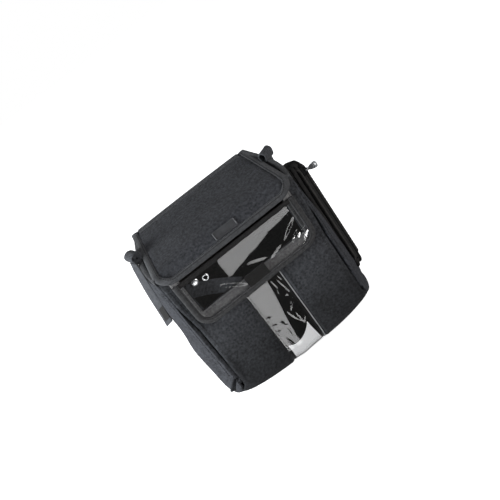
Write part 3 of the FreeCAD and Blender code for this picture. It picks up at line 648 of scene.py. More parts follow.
def gusset(name, side):
    """A bulging side, drawn in towards its top, with pinched folds at its lower front corner."""
    wrap = WRAP[side]
    q = spaced(0, 2 * DEPTH, 3.2, EDGE, np.arange(1, 34, 1.1))
    q = np.concatenate([np.linspace(-wrap, 0, 7)[:-1], q])
    v = [np.linspace(0, 0.26, 44), np.linspace(0.26, 1, 50), [0.003, 0.007, 0.012]]
    qq, vv = grid(q, np.unique(np.concatenate(v)))
    y = np.maximum(qq, 0) - DEPTH
    low = gusset_foot(y)
    z = lerp(low, top_z(y), vv)
    lap = flange(side, z)
    turned = np.minimum(qq, 0) / wrap * lap
    points = join((side_x(y, z) + turned) * side, y, z)
    frontal = np.clip(-qq / 1.5 + 1, 0, 1)
    out = unit(join(side * (1 - frontal * 0.8), y / DEPTH * 0.6 - frontal, 0))
    to_front = np.where(qq < 0, lap + turned, qq + lap) - 0.5
    to_back, to_foot = DEPTH - y, z - low
    rolled = roll_off(to_front, 3.4, 3.0) * seam_pull(z) + roll_off(to_back, 4.5, 3.0)
    rolled = rolled + roll_off(to_foot, 4.0, 2.4)
    inside = ease(np.minimum(np.minimum(to_front, to_back), to_foot) / 14)
    slack = wobble(y, z, 85, 11 + side) * 1.6 * inside
    folds = crease(y, z, (-48, 84), 96, 40, 4.5, -1.2) + crease(y, z, (-34, 62), 112, 22, 4.5, 1.4)
    folds = (folds + crease(y, z, (12, 205), 80, 45, 7, 1.2) - crease(y, z, (-18, 170), 95, 60, 8, 1.0)) * inside
    pinch = 0.0
    if side < 0:
        pinch = fold(y, z, (-60, 54), (-36, 24), 4.6, 3.6) + fold(y, z, (-57, 62), (-40, 44), 0.8, 1.0)
        pinch = pinch * ease((to_front + 1) / 3) * ease((-26 - y) / 8)
    else:
        slack = slack - 4.0 * np.clip((62 - z) / 50, 0, 1) ** 1.3 * inside
    outer = offset(points, slack + folds + pinch - rolled, out)
    made = piece(f"gusset_{name}_padded", slab(outer, offset(points, -FOAM, out), qq, z), [FABRIC, LINING],
                 "case", f"gusset_{name}")
    z, y = np.linspace(FRONT_ROUND + 22, FRONT_TOP - 10, 120), -DEPTH + 3.5
    up = unit([side * 0.85, -0.52, 0.0])
    line = join(side_x(y, z) * side, y, z) + up * 0.35
    stitched(f"gusset_{name}_topstitch", [(line, up)], DARK_THREAD, "case")


def back_panel():
    """The padded back, which turns under the base to meet the front panels."""
    run = DEPTH - BACK_ROUND - BASE_SEAM
    length = BACK_TOP - BACK_ROUND + BACK_ROUND * math.pi / 2 + run
    edges = np.array(EDGE) / BACK_X
    u = np.unique(np.concatenate([spaced(-1, 1, 0.04), edges - 1, 1 - edges]))
    ss, uu = grid(spaced(0, length, 4.0, EDGE), u)
    depth, height = edge_profile(ss, BACK_TOP, BACK_ROUND, run)
    out_y, out_z = edge_outwards(depth, height, BACK_ROUND)
    half = np.where(height > BACK_ROUND, back_x(height), side_x(-depth, FOOT_Z))
    x = uu * half
    points, out = join(x, -depth, soften(x, height, BACK_ROUND)), unit(join(0, -out_y, out_z))
    off_base, to_seam = ease(height / 30), half - np.abs(x)
    crown = 3.0 * (1 - uu ** 2) ** 0.6 * off_base * ease((BACK_TOP - height) / 30)
    sag = wobble(x, ss, 90, 21) * off_base * ease(to_seam / 14)
    outer = offset(points, crown + sag - roll_off(to_seam, 4.5, 3.0), out)
    made = piece("back_panel_padded", slab(outer, offset(points, -FOAM, out), x, ss), [FABRIC, LINING],
                 "case", "back_panel")
    z = np.linspace(26, BACK_TOP - 16, 120)
    rows = [(join((back_x(z) - 7) * side, DEPTH + 0.5, z), Y_WAY) for side in (-1, 1)]
    stitched("back_panel_topstitch", rows, DARK_THREAD, "case")


def rear_pipings():
    """A cloth-covered cord in each rear seam."""
    for name, side in SIDES:
        low, high = box(f"rear_piping_{name}")
        z = np.linspace(low[2], high[2], 120)
        path = join(back_x(z) * side + wobble(z, z * 0, 60, 5) * 0.4, DEPTH - 0.2, z)
        ends = np.clip(np.minimum(z - low[2], high[2] - z) / 2 + 0.3, 0.3, 1)
        swell = (1 + 0.05 * np.sin(z * TURN / 6)) * ends
        cord = sweep(path, X_WAY, Y_WAY, circle_profile(2.2, 14), scale=swell)
        piece(f"rear_piping_{name}_cord", cord, TAPE, "case", f"rear_piping_{name}")


# ---------------------------------------------------------------- the clear strip down the front

# each one a place, its direction in degrees, length, width and height
STRIP_FOLDS = [
    ((11, 98), 78, 10, 1.2, 1.1), ((16, 90), 10, 5, 1.2, 1.0), ((20, 108), 80, 14, 1.3, 0.9),
    ((12, 122), 30, 8, 1.2, -0.9), ((15, 138), -50, 9, 1.2, 0.9), ((20, 152), 40, 8, 1.2, 0.8),
    ((6, 150), 75, 8, 1.3, 0.9), ((12, 170), 60, 10, 1.3, -0.9), ((9, 112), -70, 7, 1.1, 0.8),
    ((17, 124), -30, 6, 1.1, 0.9), ((22, 134), 15, 5, 1.0, -0.8), ((13, 158), 82, 6, 1.0, 0.9),
    ((18, 168), -45, 6, 1.1, 0.8), ((14, 84), -60, 5, 1.1, 0.9), ((22, 96), 85, 7, 1.1, 0.7),
]
STRIP_SLITS = [
    ((-21, 133), 20, 2.6, 1.0, 1.3), ((-21, 147), 15, 2.6, 1.0, 1.3), ((-21, 159), 12, 2.6, 1.0, 1.3),
    ((-10.5, 152.5), 94, 4.0, 1.2, 1.5), ((-8.5, 157), 10, 2.0, 0.9, 0.9), ((-10.2, 169), 91, 7.0, 0.9, 0.7),
    ((-16.6, 184.6), 76, 10.0, 1.3, 1.7),
]


def strip_relief(x, s):
    """Out-of-plane relief of the clear strip: smooth on its left, crumpled on its right."""
    fade = ease((STRIP_X + 1 - np.abs(x)) / 6)
    relief = 1.2 * (1 - (x / STRIP_X) ** 2)
    turn = lerp(7, -9, ease((s - 80) / 120))
    relief += 0.9 * np.exp(-((x - turn) / 7.0) ** 2) + wobble(x, s * 0.4, 60, 31) * 0.15
    rough = ease((x - turn - 1) / 6)
    relief += rough * wobble(x, s, 34, 32) * 0.25
    for ridge in STRIP_FOLDS:
        relief += rough * crease(x, s, *ridge)
    for ridge in STRIP_SLITS:
        relief += crease(x, s, *ridge)
    return relief * fade - 1.6


def clear_strip():
    """The clear vinyl strip that runs down the front and under the base."""
    s = spaced(S_MOUTH, J_LENGTH, 1.2)
    ss, xx = grid(s, spaced(-STRIP_X - 1.5, STRIP_X + 1.5, 0.7))
    points, out, _ = front_surface(xx, ss)
    relief = lerp(strip_relief(xx, ss), -0.4, ease((ss - FRONT_WALL - 46) / 16))
    sheet = slab(offset(points, relief, out), offset(points, relief - 0.5, out), xx, ss)
    made = piece("front_strip_vinyl", sheet, VINYL, "case", "front_window_strip")
    for name, side in SIDES:
        ss, xx = grid(s, spaced(STRIP_X - 4.4, STRIP_X + 1.5, 1.2) * side)
        points, out, _ = front_surface(xx, ss)
        relief = strip_relief(xx, ss) - 0.75
        hem = slab(offset(points, relief, out), offset(points, relief - 0.9, out), ss, xx)
        piece(f"strip_hem_{name}", hem, DARK_TAPE, "case", f"strip_edge_tape_{name}")
    s = np.linspace(S_MOUTH, FRONT_WALL + FRONT_ROUND * 1.1, 150)
    line, up, _ = front_surface(STRIP_X - 0.9, s)
    line = line + up * (-0.9 + wobble(s, s * 0, 30, 8) * 0.25)[:, None]
    piece("front_strip_raw_edge", sweep(line, X_WAY, up, circle_profile(0.55, 8)), RAW_EDGE, "case")
    line, up, _ = front_surface(2.4 - STRIP_X, s)
    stitched("strip_hem_stitch", [(line - up * 1.1, up)], DARK_THREAD, "case",
             pitch=4.2, length=3.0)


def base_lining():
    """The dark lining over the base, whose front edge shows through the clear strip."""
    xx, tt = grid(spaced(-60.0, 60.0, 1.5), np.linspace(0, 1, 40))
    off_middle = xx + 8.0
    sag = np.where(off_middle < 0, 17 * (off_middle / 19) ** 2, 34 * (off_middle / 35) ** 2)
    front = -9.0 + np.where(np.abs(xx) < STRIP_X + 2, sag, 30.0)
    y = lerp(front, BASE_SEAM - 2, tt)
    lower = join(xx, y, base_z(xx) + FOAM + 0.8 + wobble(xx, y, 40, 33) * 0.2)
    piece("base_lining_cloth", slab(lower + [0, 0, 1.1], lower, xx, y), LINING, "case")


# ---------------------------------------------------------------- tapes on the case

def upright(x, z, front, back, keep=None):
    """Cloth that stands across the front or the back, between two depths."""
    return slab(join(x, front, z), join(x, back, z), x, z, keep)


def corner_reach(x, z, half_x, low_z, radius):
    """How far a place lies past the centres of the rounded lower corners."""
    return np.hypot(np.maximum(np.abs(x) - (half_x - radius), 0), np.maximum(low_z + radius - z, 0))


def seam_bindings():
    """Tape over the raw edges of the front seams, inside the shell."""
    section = [(-4.2, -0.6), (-4.2, 0.4), (-3.4, 0.7), (0, 0.85), (3.4, 0.7), (4.2, 0.4), (4.2, -0.6)]
    for name, side in SIDES:
        _, high = box(f"seam_binding_{name}")
        line, up, _ = front_surface((SEAM_X - 8) * side, np.linspace(FRONT_TOP - high[2], J_LENGTH - 2, 110))
        tape = sweep(line - up * (FOAM + 0.9), X_WAY, up, section)
        piece(f"seam_tape_{name}", tape, DARK_TAPE, "case", f"seam_binding_{name}")


def mouth_tape():
    """The tape round the mouth, seen through the clear flap."""
    outer_x, low_z, high_z = mouth_high[0], mouth_low[2], mouth_high[2]
    x = spaced(-outer_x, outer_x, 1.5, (0.4, 1.0), [-MOUTH_X, MOUTH_X, -MOUTH_X - 0.6, MOUTH_X + 0.6])
    z = spaced(low_z, high_z, 1.3, (0.4, 1.0), [MOUTH_Z, MOUTH_Z - 0.6, MOUTH_Z - 1.6])
    xx, zz = grid(x, z)
    border = np.minimum(np.minimum(outer_x - np.abs(xx), zz - low_z),
                        np.where(np.abs(xx) < MOUTH_X, MOUTH_Z - zz, 99))
    border = np.where(zz > MOUTH_Z, np.minimum(border, np.abs(np.abs(xx) - MOUTH_X)), border)
    relief = 1.5 - roll_off(np.maximum(border, 0), 1.2, 0.6) + wobble(xx, zz, 34, 41) * 0.28
    x, z = cells(xx), cells(zz)
    keep = ~((np.abs(x) < MOUTH_X) & (z > MOUTH_Z)) & (corner_reach(x, z, outer_x, low_z, 13) < 13.5)
    piece("mouth_tape", upright(xx, zz, -DEPTH - relief, -DEPTH + 0.6, keep), [MOUTH_TAPE, DARK_TAPE], "case",
          "mouth_binding")
    level = np.linspace(12 - outer_x, outer_x - 12, 80)
    lines = [join(level, -DEPTH - 1.7, z_at) for z_at in (low_z + 2.2, MOUTH_Z - 2.4)]
    lines += [join(x_at * side, -DEPTH - 1.7, np.linspace(MOUTH_Z, high_z - 2, 40))
              for side in (-1, 1) for x_at in (outer_x - 2.4, MOUTH_X + 2.4)]
    stitched("mouth_tape_stitch", [(line, -Y_WAY) for line in lines], THREAD, "case")


def pile_patch(name, node_name, body, material, facing, bristle, trim=0.0):
    """A patch of hook or loop pile: a bed with a field of small leaning bristles."""
    low, high = box(node_name)
    low, high = low + [trim, 0, 0], high - [trim, 0, 0]
    bed, reach = 0.55, abs(high[1] - low[1])
    plane = low[1] if facing > 0 else high[1]
    xx, zz = grid(spaced(low[0], high[0], 1.0, (0.3,)), spaced(low[2], high[2], 1.0, (0.3,)))
    build = upright(xx, zz, plane + facing * (bed + wobble(xx, zz, 5, 51) * 0.12), plane)
    random = np.random.RandomState(7)
    ring = join(np.cos(around(4)), 0, np.sin(around(4)))
    for at_x in np.arange(low[0] + 0.8, high[0] - 0.5, bristle):
        for at_z in np.arange(low[2] + 0.8, high[2] - 0.5, bristle):
            lean = random.uniform(-0.7, 0.7, 2)
            foot = np.array([at_x, plane + facing * bed * 0.6, at_z]) + [random.uniform(-0.2, 0.2), 0, 0]
            tip = foot + [lean[0], facing * (reach - bed * 0.6), lean[1]]
            middle = (foot + tip) / 2 + [0, 0, 0.15]
            rod(build, [foot + ring * 0.22, middle + ring * 0.2, tip + ring * 0.12])
    piece(name, build, material, body, node_name)


def bound_edge(name, path, normal, body, replaces, width=9.5, half=FOAM / 2 + 0.6, wrap=1.2, tape=TAPE):
    """Folded tape along an edge, with a stitched row. Tangent x normal points off the edge."""
    side = unit(np.cross(tangents(path), normal))
    ripple = 1 + 0.012 * np.sin(np.arange(len(path)) * 1.3)
    folded = sweep(path, side, normal, tape_section(width, half, 0.7, wrap), scale=ripple)
    piece(name, folded, tape, body, replaces)
    line = path - side * (width - 2.0) + normal * (half + 0.85)
    stitched(f"{name}_stitch", [(line, normal)], DARK_THREAD, body, 3.0, 2.5, 0.45)


def top_edge_bindings():
    for name, side in SIDES:
        y = np.linspace(-DEPTH + 0.5, DEPTH - 0.5, 60)
        z = top_z(y)
        path = join((side_x(y, z) - FOAM / 2 - 1.2) * side, y, z - 0.6)[::side]
        normal = unit(join(side * 1.0, y / DEPTH * 0.25, 0))[::side]
        bound_edge(f"gusset_{name}_edge_tape", path, normal, "case", f"top_edge_binding_{name}")


# how far out each webbing loop stands, how much narrower and lower it is than its box, its turn and half width
LOOPS = {-1: (2.5, 0.2, 2.6, 18, 11.5), 1: (0.2, 2.0, 2.4, -54, 9.5)}
LOOP_LEG = 16.0


def webbing_loop(name, side):
    """A loop of webbing that stands on a gusset, turned a little and creased where it bends."""
    low, high = box(f"strap_loop_{name}")
    out, narrower, lower, degrees, half = LOOPS[side]
    middle = np.array([(low[0] + high[0]) / 2 + side * out, (low[1] + high[1]) / 2, 0])
    wide = (high[0] - low[0]) / 2 - narrower
    tall = (high[2] - low[2] - LOOP_LEG) / 2 - 1.9
    centre_z = high[2] - 1.1 - tall - lower
    turn = np.linspace(-0.62 * math.pi, 1.38 * math.pi, 72)
    ring_x = np.cos(turn) * wide * (1 + 0.10 * np.sin(turn * 3))
    ring_z = centre_z + np.sin(turn) * tall * (1 + 0.05 * np.cos(turn * 2))
    foot_z = np.linspace(low[2], centre_z - tall, 14)[:-1]
    foot_x = np.linspace(-wide * 0.75, ring_x[0], 14)[:-1]
    angle = math.radians(degrees)
    across = np.array([math.cos(angle), math.sin(angle), 0.0])
    width_way = np.array([-math.sin(angle), math.cos(angle), 0.0])
    section = np.array([
        (-half, -0.5), (-half + 0.6, -1.0), (-half / 2, -1.1), (0, -0.95), (half / 2, -1.1), (half - 0.6, -1.0),
        (half, -0.5), (half, 0.5), (half - 0.6, 1.0), (half / 2, 1.1), (0, 0.95), (-half / 2, 1.1),
        (-half + 0.6, 1.0), (-half, 0.5)])
    turns = [(np.concatenate([foot_x, ring_x]), np.concatenate([foot_z, ring_z]), 1.0)]
    if side < 0:
        coil = turn[::2]
        turns += [(np.cos(coil) * wide * size, centre_z + np.sin(coil) * tall * size, 0.96) for size in (0.66, 0.34)]
    build = Build()
    for flat_x, flat_z, narrow in turns:
        path = middle + (flat_x * side)[:, None] * across + flat_z[:, None] * Z_WAY
        off = unit(np.cross(tangents(path), width_way))
        sweep(path, width_way, off, section * [narrow, 1.0], build=build)
    piece(f"strap_loop_{name}_webbing", build, WEB, "case", f"strap_loop_{name}")


def hinge_tape():
    """The back's half of the lid's hinge tape."""
    low, high = box("back_hinge_tape")
    xx, zz = grid(spaced(low[0], high[0], 4.0, (0.5, 1.2)), spaced(low[2], high[2], 1.5, (0.4, 1.0)))
    border = np.minimum(np.minimum(xx - low[0], high[0] - xx), np.minimum(zz - low[2], high[2] - zz))
    relief = 1.1 - roll_off(border, 1.0, 0.6) + wobble(xx, zz, 30, 61) * 0.12
    piece("back_hinge_tape_cloth", upright(xx, zz, DEPTH + relief, DEPTH - 0.3), TAPE, "case",
          "back_hinge_tape")
    x = np.linspace(low[0] + 2, high[0] - 2, 80)
    rows = [(join(x, DEPTH + 1.2, z), Y_WAY) for z in (low[2] + 2.0, high[2] - 2.0)]
    stitched("back_hinge_tape_stitch", rows, THREAD, "case")


# ---------------------------------------------------------------- the strap inside the mouth

def lathe(middle, profile, count=28):
    """Turn a profile of (radius, distance to the front) round an axis that faces the front."""
    axis = -Y_WAY
    first = unit(np.cross(axis, [0.3, 0.2, 0.9]))
    second = np.cross(axis, first)
    ring = np.cos(around(count))[:, None] * first + np.sin(around(count))[:, None] * second
    verts = [np.array(middle) + ring * radius + axis * height for radius, height in profile]
    faces = tube_faces(count, len(profile))
    if profile[0] != profile[-1]:
        faces += end_faces(count, len(profile))
    return Build().add(np.concatenate(verts), faces)


def inner_strap():
    """Webbing that slants down behind the mouth, with a press stud and an eyelet."""
    low, high = box("inner_strap")
    start, end = np.array([low[0] + 4, high[2] - 10]), np.array([high[0], low[2] + 8])
    t = np.linspace(0, 1, 50)
    flat = start[None] * (1 - t[:, None]) + end[None] * t[:, None]
    path = join(flat[:, 0], (low[1] + high[1]) / 2 + np.sin(t * 5) * 0.5, flat[:, 1] + np.sin(t * math.pi) * 3)
    half = 10.0
    section = [(-half, -0.5), (-half, 0.5), (-half + 1, 0.85), (0, 0.7), (half - 1, 0.85), (half, 0.5),
               (half, -0.5), (half - 1, -0.8), (-half + 1, -0.8)]
    band = sweep(path, unit(np.cross(tangents(path), -Y_WAY)), -Y_WAY, section)
    piece("inner_strap_webbing", band, WEB, "case", "inner_strap")
    low, high = box("inner_strap_stud")
    middle, radius = (low + high) / 2, (high[0] - low[0]) / 2
    cap = [(0.01, 0.9), (radius * 0.35, 0.85), (radius * 0.7, 0.6), (radius * 0.92, 0.15), (radius, -0.4),
           (radius * 0.95, -0.9), (radius * 0.6, -1.1), (radius * 0.55, -3.4), (radius * 0.8, -3.6), (0.01, -3.7)]
    piece("inner_strap_press_stud", lathe((middle[0], low[1] + 0.6, middle[2]), cap), BRIGHT, "case",
          "inner_strap_stud")
    low, high = box("inner_strap_eyelet")
    middle, radius, bore = (low + high) / 2, (high[0] - low[0]) / 2, 2.4
    section = [((radius + bore) / 2 + math.cos(a) * (radius - bore) / 2, math.sin(a) * 0.75)
               for a in np.linspace(0, TURN, 17)[:-1]]
    piece("inner_strap_ring", lathe((middle[0], low[1] + 0.5, middle[2]), section + section[:1]), BRIGHT, "case",
          "inner_strap_eyelet")


# ---------------------------------------------------------------- the side pocket and its zip

POCKET_X, POCKET_Y = pocket_high[0], pocket_high[1]
BEVEL = 9.0
BEVEL_HALF = BEVEL / math.sqrt(2)      # half the width of the bevel that holds the zip
OUTWARD = np.array([1.0, -1.0, 0.0]) / math.sqrt(2)
ALONG = np.array([1.0, 1.0, 0.0]) / math.sqrt(2)
ZIP_MIDDLE = np.array([POCKET_X - BEVEL / 2, BEVEL / 2 - POCKET_Y, 0.0])
LEAN_IN = -2.3       # the pocket sits a little further in than the design's, with the gusset it is sewn on
POCKET_WALL = 112.0  # the pocket's cloth puffs and leans outside this distance from the middle


def pocket_outline(inset):
    """The pocket from above, as points from its front at the gusset round to its back."""
    groove = [(-BEVEL_HALF, 0), (-5.0, 0.5), (-4.3, 0.1), (-4.1, -2.6), (4.1, -2.6), (4.3, 0.1), (5.0, 0.5),
              (BEVEL_HALF, 0)]
    front = -POCKET_Y + inset
    outer, back = POCKET_X - inset, POCKET_Y - inset
    points = [(104.0, front), (110.0, front), (113.4, front - 0.5), (114.2, front + 1.8), (115.0, front - 0.6),
              (119.4, front - 0.6), (120.2, front + 1.4), (121.0, front - 0.3)]
    points += [tuple(ZIP_MIDDLE[:2] + ALONG[:2] * a + OUTWARD[:2] * (o - inset)) for a, o in groove]
    points += [(outer + 0.5, y) for y in np.linspace(-26, 28, 14)]
    points += [(outer - 1.4, back - 4.0), (outer - 4.0, back - 1.4), (outer - 8, back), (114.0, back), (104.0, back)]
    return np.array(points)


def pocket():
    """The slim zipped pocket on the right gusset, puffed, with rounded ends that fall towards its back."""
    low, high = pocket_low[2], pocket_high[2]
    ends = np.array([0, 0.6, 1.6, 3.2, 5.5, 8.5])
    rings = []
    for z in np.concatenate([low + ends, np.linspace(low + 12, high - 12, 44), high - ends[::-1]]):
        x, y = pocket_outline(float(roll_off(min(z - low, high - z), 8.0, 5.5))).T
        fall = 20.0 * np.clip((y + 18) / 58, 0, 1) + 5.0 * np.clip((y - 28) / 12, 0, 1) ** 2
        level = low + (z - low) * (1 - fall / (high - low))
        puffed = x + np.where(x > POCKET_WALL, wobble(y, np.full(len(y), z), 55, 71) * 0.7, 0)
        x = np.maximum(puffed + LEAN_IN * (x > POCKET_WALL), side_x(y, level) - 3)
        rings.append(join(x, y, level))
    sides, count = len(rings[0]), len(rings)
    verts = np.concatenate(rings)
    walls, caps = tube_faces(sides, count), end_faces(sides, count)
    maps = [[(verts[k, 1] + verts[k, 0], verts[k, 2]) for k in face] for face in walls]
    maps += [[(verts[k, 0], verts[k, 1]) for k in face] for face in caps]
    piece("pocket_pouch", Build().add(verts, walls + caps, maps), POCKET, "case", "pocket_shell",
          sharp=70)
    for name, sign in (("inner", -1), ("outer", 1)):
        low, high = box(f"pocket_piping_{name}")
        z = np.linspace(low[2] + 1, high[2] + 1, 90)
        back_in = np.clip(1 - np.minimum(z - z[0], z[-1] - z) / 7, 0, 1) ** 2 * 4.5
        foot = ZIP_MIDDLE + ALONG * (BEVEL_HALF + 0.4) * sign
        path = foot + z[:, None] * Z_WAY - back_in[:, None] * OUTWARD + [LEAN_IN, 0, 0]
        swell = 1 + 0.06 * np.sin(z * TURN / 5)
        cord = sweep(path, ALONG, OUTWARD, circle_profile(1.9, 12), scale=swell)
        piece(f"pocket_piping_{name}_cord", cord, PIPING, "case", f"pocket_piping_{name}")


def bevel_place(outward, along, z):
    """A place by the zip: outwards from its face, along it towards the back, and a height."""
    return ZIP_MIDDLE + OUTWARD * outward + ALONG * along + np.array([LEAN_IN, 0, z])


def block(build, low, high):
    """A small chamfered block in the zip's own directions: outward, along and up."""
    low, high = np.array(low, float), np.array(high, float)
    cham = np.minimum((high - low) * 0.3, 0.35)
    rings = []
    for z, share in ((low[2], 1), (low[2] + cham[2], 0), (high[2] - cham[2], 0), (high[2], 1)):
        (o0, a0), (o1, a1) = low[:2] + cham[:2] * share, high[:2] - cham[:2] * share
        rings.append([bevel_place(o, a, z) for o, a in ((o0, a0), (o1, a0), (o1, a1), (o0, a1))])
    return rod(build, rings)


def zip_fastener():
    """Woven tapes, interlocked coils with their teeth, and the stops."""
    tape_low, tape_high = box("zip_tape_inner")
    section = [(-1.9, -0.4), (-1.9, 0.2), (-1.2, 0.4), (0, 0.3), (1.2, 0.45), (1.9, 0.2), (1.9, -0.4)]
    pitch = 1.7
    for name, sign in (("inner", -1), ("outer", 1)):
        path = np.array([bevel_place(-2.0, sign * 2.9, z) for z in np.linspace(tape_low[2], tape_high[2], 80)])
        piece(f"zip_tape_{name}_woven", sweep(path, ALONG, OUTWARD, section), ZIP_TAPE, "case",
              f"zip_tape_{name}")
        low, high = box(f"zip_coil_{name}")
        build = Build()
        near, far = sorted((sign * -0.55, sign * 2.1))
        for at in np.arange(low[2], high[2] - pitch, pitch):
            start = at + (pitch / 2 if sign > 0 else 0)
            block(build, (-1.7, near, start), (-0.25, far, start + pitch * 0.62))
        near, far = sorted((sign * 1.5, sign * 2.2))
        block(build, (-1.6, near, low[2]), (-0.6, far, high[2]))
        piece(f"zip_coil_{name}_teeth", build, COIL, "case", f"zip_coil_{name}", sharp=30)
    for node_name, spans, lower, higher in (("zip_top_stops", ((-2.5, -0.8), (0.8, 2.5)), 0, 1.2),
                                            ("zip_bottom_stop", ((-2.5, 2.5),), 0.6, 0)):
        low, high = box(node_name)
        build = Build()
        for near, far in spans:
            block(build, (-1.6, near, low[2] - lower), (0.3, far, high[2] + higher))
        piece(f"{node_name}_clip", build, BLACK_METAL, "case", node_name, sharp=30)


def plate(build, outline, low, high, middle):
    """A plate parallel to the zip's face between two levels off it, with chamfered rims."""
    outline = np.asarray(outline, float)
    rim = min(0.35, (high - low) * 0.3)
    towards = unit(outline.mean(axis=0) - outline)
    rings = []
    for level, inset in ((low, rim), (low + rim, 0), (high - rim, 0), (high, rim)):
        rings.append([bevel_place(level, a, middle + b) for a, b in outline + towards * inset])
    return rod(build, rings)


def rounded(value, power):
    """A sine or cosine blunted by a power, keeping its sign."""
    return math.copysign(abs(value) ** power, value)


def slider():
    """The slider: two shield-shaped plates, a wedge, and a bridge for the pull."""
    low, high = box("zip_slider")
    middle, half = (low[2] + high[2]) / 2, (high[2] - low[2]) / 2
    shield = np.array([(rounded(math.cos(a), 0.55) * (4.7 + min(math.sin(a), 0) * 1.3),
                        rounded(math.sin(a), 0.7) * half) for a in np.linspace(0, TURN, 36, endpoint=False)])
    build = Build()
    plate(build, shield, 0.3, 1.7, middle)
    plate(build, shield * [0.9, 1], -4.3, -3.0, middle)
    block(build, (-3.2, -0.6, middle + half - 3.5), (0.6, 0.6, middle + half - 0.5))
    path = np.array([bevel_place(1.4 + math.sin(a) * 2.5, 0, middle - math.cos(a) * 5.4)
                     - [LEAN_IN * math.sin(a), 0, 0] for a in np.linspace(0, math.pi, 22)])
    section = [(-0.6, -1.0), (0.6, -1.0), (0.75, 0), (0.6, 1.0), (-0.6, 1.0), (-0.75, 0)]
    sweep(path, unit(np.cross(tangents(path), ALONG)), ALONG, section, build=build)
    piece("zip_slider_body", build, BLACK_METAL, "slider", "zip_slider", sharp=35)


PULL_LIFT = 0.24     # how much the pull's blade rises for each millimetre outwards


def edge_from(place, outline, directions):
    """Where lines from a place inside an outline meet it."""
    found = []
    for direction in directions:
        best = 0.0
        for p, q in zip(outline, np.roll(outline, -1, axis=0)):
            matrix = np.array([direction, p - q]).T
            if abs(np.linalg.det(matrix)) < 1e-9:
                continue
            far, along = np.linalg.solve(matrix, p - place)
            if far > 0 and -1e-9 <= along <= 1 + 1e-9:
                best = max(best, far)
        found.append(place + direction * best)
    return np.array(found)


def puller():
    """The pull: an eye round the bridge, a neck and a flared blade with a hole at its tip.

    It stands on its own axis in the design, not on the zip that leans in.
    """
    low, high = box("zip_puller")
    middle = (low[2] + high[2]) / 2
    tip = np.dot(np.array([high[0], low[1], 0]) - ZIP_MIDDLE, OUTWARD) - 3.0
    blade = [(5.5, -1.3), (7.4, -1.8), (9.0, -3.2), (tip - 4.5, -4.6), (tip - 1.5, -4.4)]
    outline = blade + [(tip - 1.5 + math.cos(a) * 1.6, math.sin(a) * 4.2) for a in np.linspace(-1.2, 1.2, 9)]
    outline = np.array(outline + [(out, -up) for out, up in reversed(blade)])
    hole, directions = np.array([tip - 2.8, 0.0]), circle_profile(1, 48)
    edge = edge_from(hole, outline, directions)
    ring, lip, rim = hole + directions * 1.1, hole + directions * 1.6, edge + unit(hole - edge) * 0.35
    levels = [(ring, -0.35), (lip, -0.75), (rim, -0.6), (edge, -0.3), (edge, 0.3), (rim, 0.6), (lip, 0.75),
              (ring, 0.35)]
    verts = [bevel_place(p[0], level, middle + p[1] + max(p[0] - 5, 0) * PULL_LIFT) - [LEAN_IN, 0, 0]
             for points, level in levels for p in points]
    build = Build().add(verts, tube_faces(len(directions), len(levels), closed=True))
    path = np.array([bevel_place(3.8 + math.cos(a) * 1.9, math.sin(a) * 1.9, middle) - [LEAN_IN, 0, 0]
                     for a in np.linspace(0, TURN, 25)[:-1]])
    section = [(-0.35, -1.4), (0.35, -1.4), (0.45, 0), (0.35, 1.4), (-0.35, 1.4), (-0.45, 0)]
    sweep(path, unit(np.cross(tangents(path, True), Z_WAY)), Z_WAY, section, closed=True, build=build)
    piece("zip_pull_plate", build, SATIN, "puller", "zip_puller", sharp=35)


# ---------------------------------------------------------------- the lid

LID_FRONT_X, LID_BACK_X = 101.0, 93.0
LID_CORNER = 24.0
LID_POINTS = [(lid_high[1], lid_high[2]), (-56.0, 240.0), (lid_low[1], 228.0), (lid_low[1], lid_low[2] + 3.2)]


def rounded_path(points, radii, step=0.5):
    """A polyline with its inner corners rounded, as evenly spaced points."""
    points = [np.array(p, float) for p in points]
    found = [points[0]]
    for before, at, after, reach in zip(points, points[1:], points[2:], radii):
        start, end = at + unit(before - at) * reach, at + unit(after - at) * reach
        found += [(1 - t) ** 2 * start + 2 * t * (1 - t) * at + t * t * end for t in np.linspace(0, 1, 14)]
    return resample(np.array(found + [points[-1]]), step)


LID_PATH = rounded_path(LID_POINTS, [8.5, 5.0])
LID_ALONG = running(LID_PATH)
LID_LENGTH = LID_ALONG[-1]


def lid_half(s):
    y = np.interp(s, LID_ALONG, LID_PATH[:, 0])
    return lerp(LID_BACK_X, LID_FRONT_X, (lid_high[1] - y) / (lid_high[1] - lid_low[1]))


def lid_rise(x, s):
    """How far the padding stands proud of the plain folded sheet."""
    across = np.clip(np.abs(x) / lid_half(s), 0, 1)
    down = np.clip(s / LID_LENGTH, 0, 1)
    crown = 3.6 * (1 - across ** 2) ** 0.7 * np.sin(math.pi * np.clip(down * 0.9 + 0.06, 0, 1)) ** 0.7
    return crown + wobble(x, s, 80, 81) * 0.7 * (1 - across ** 4) * np.sin(math.pi * down)


def lid_surface(x, s, height):
    """Point off the lid's sheet, over x and the distance from the hinge, and the normal there."""
    x, s = np.broadcast_arrays(x, s)
    t = tangents(LID_PATH)
    normal = -unit(join(0, np.interp(s, LID_ALONG, -t[:, 1]), np.interp(s, LID_ALONG, t[:, 0])))
    y, z = np.interp(s, LID_ALONG, LID_PATH[:, 0]), np.interp(s, LID_ALONG, LID_PATH[:, 1])
    wider = x - 2.6 * ease(-x / LID_FRONT_X)
    return join(wider, y, z) + normal * (lid_rise(x, s) + height)[..., None], normal


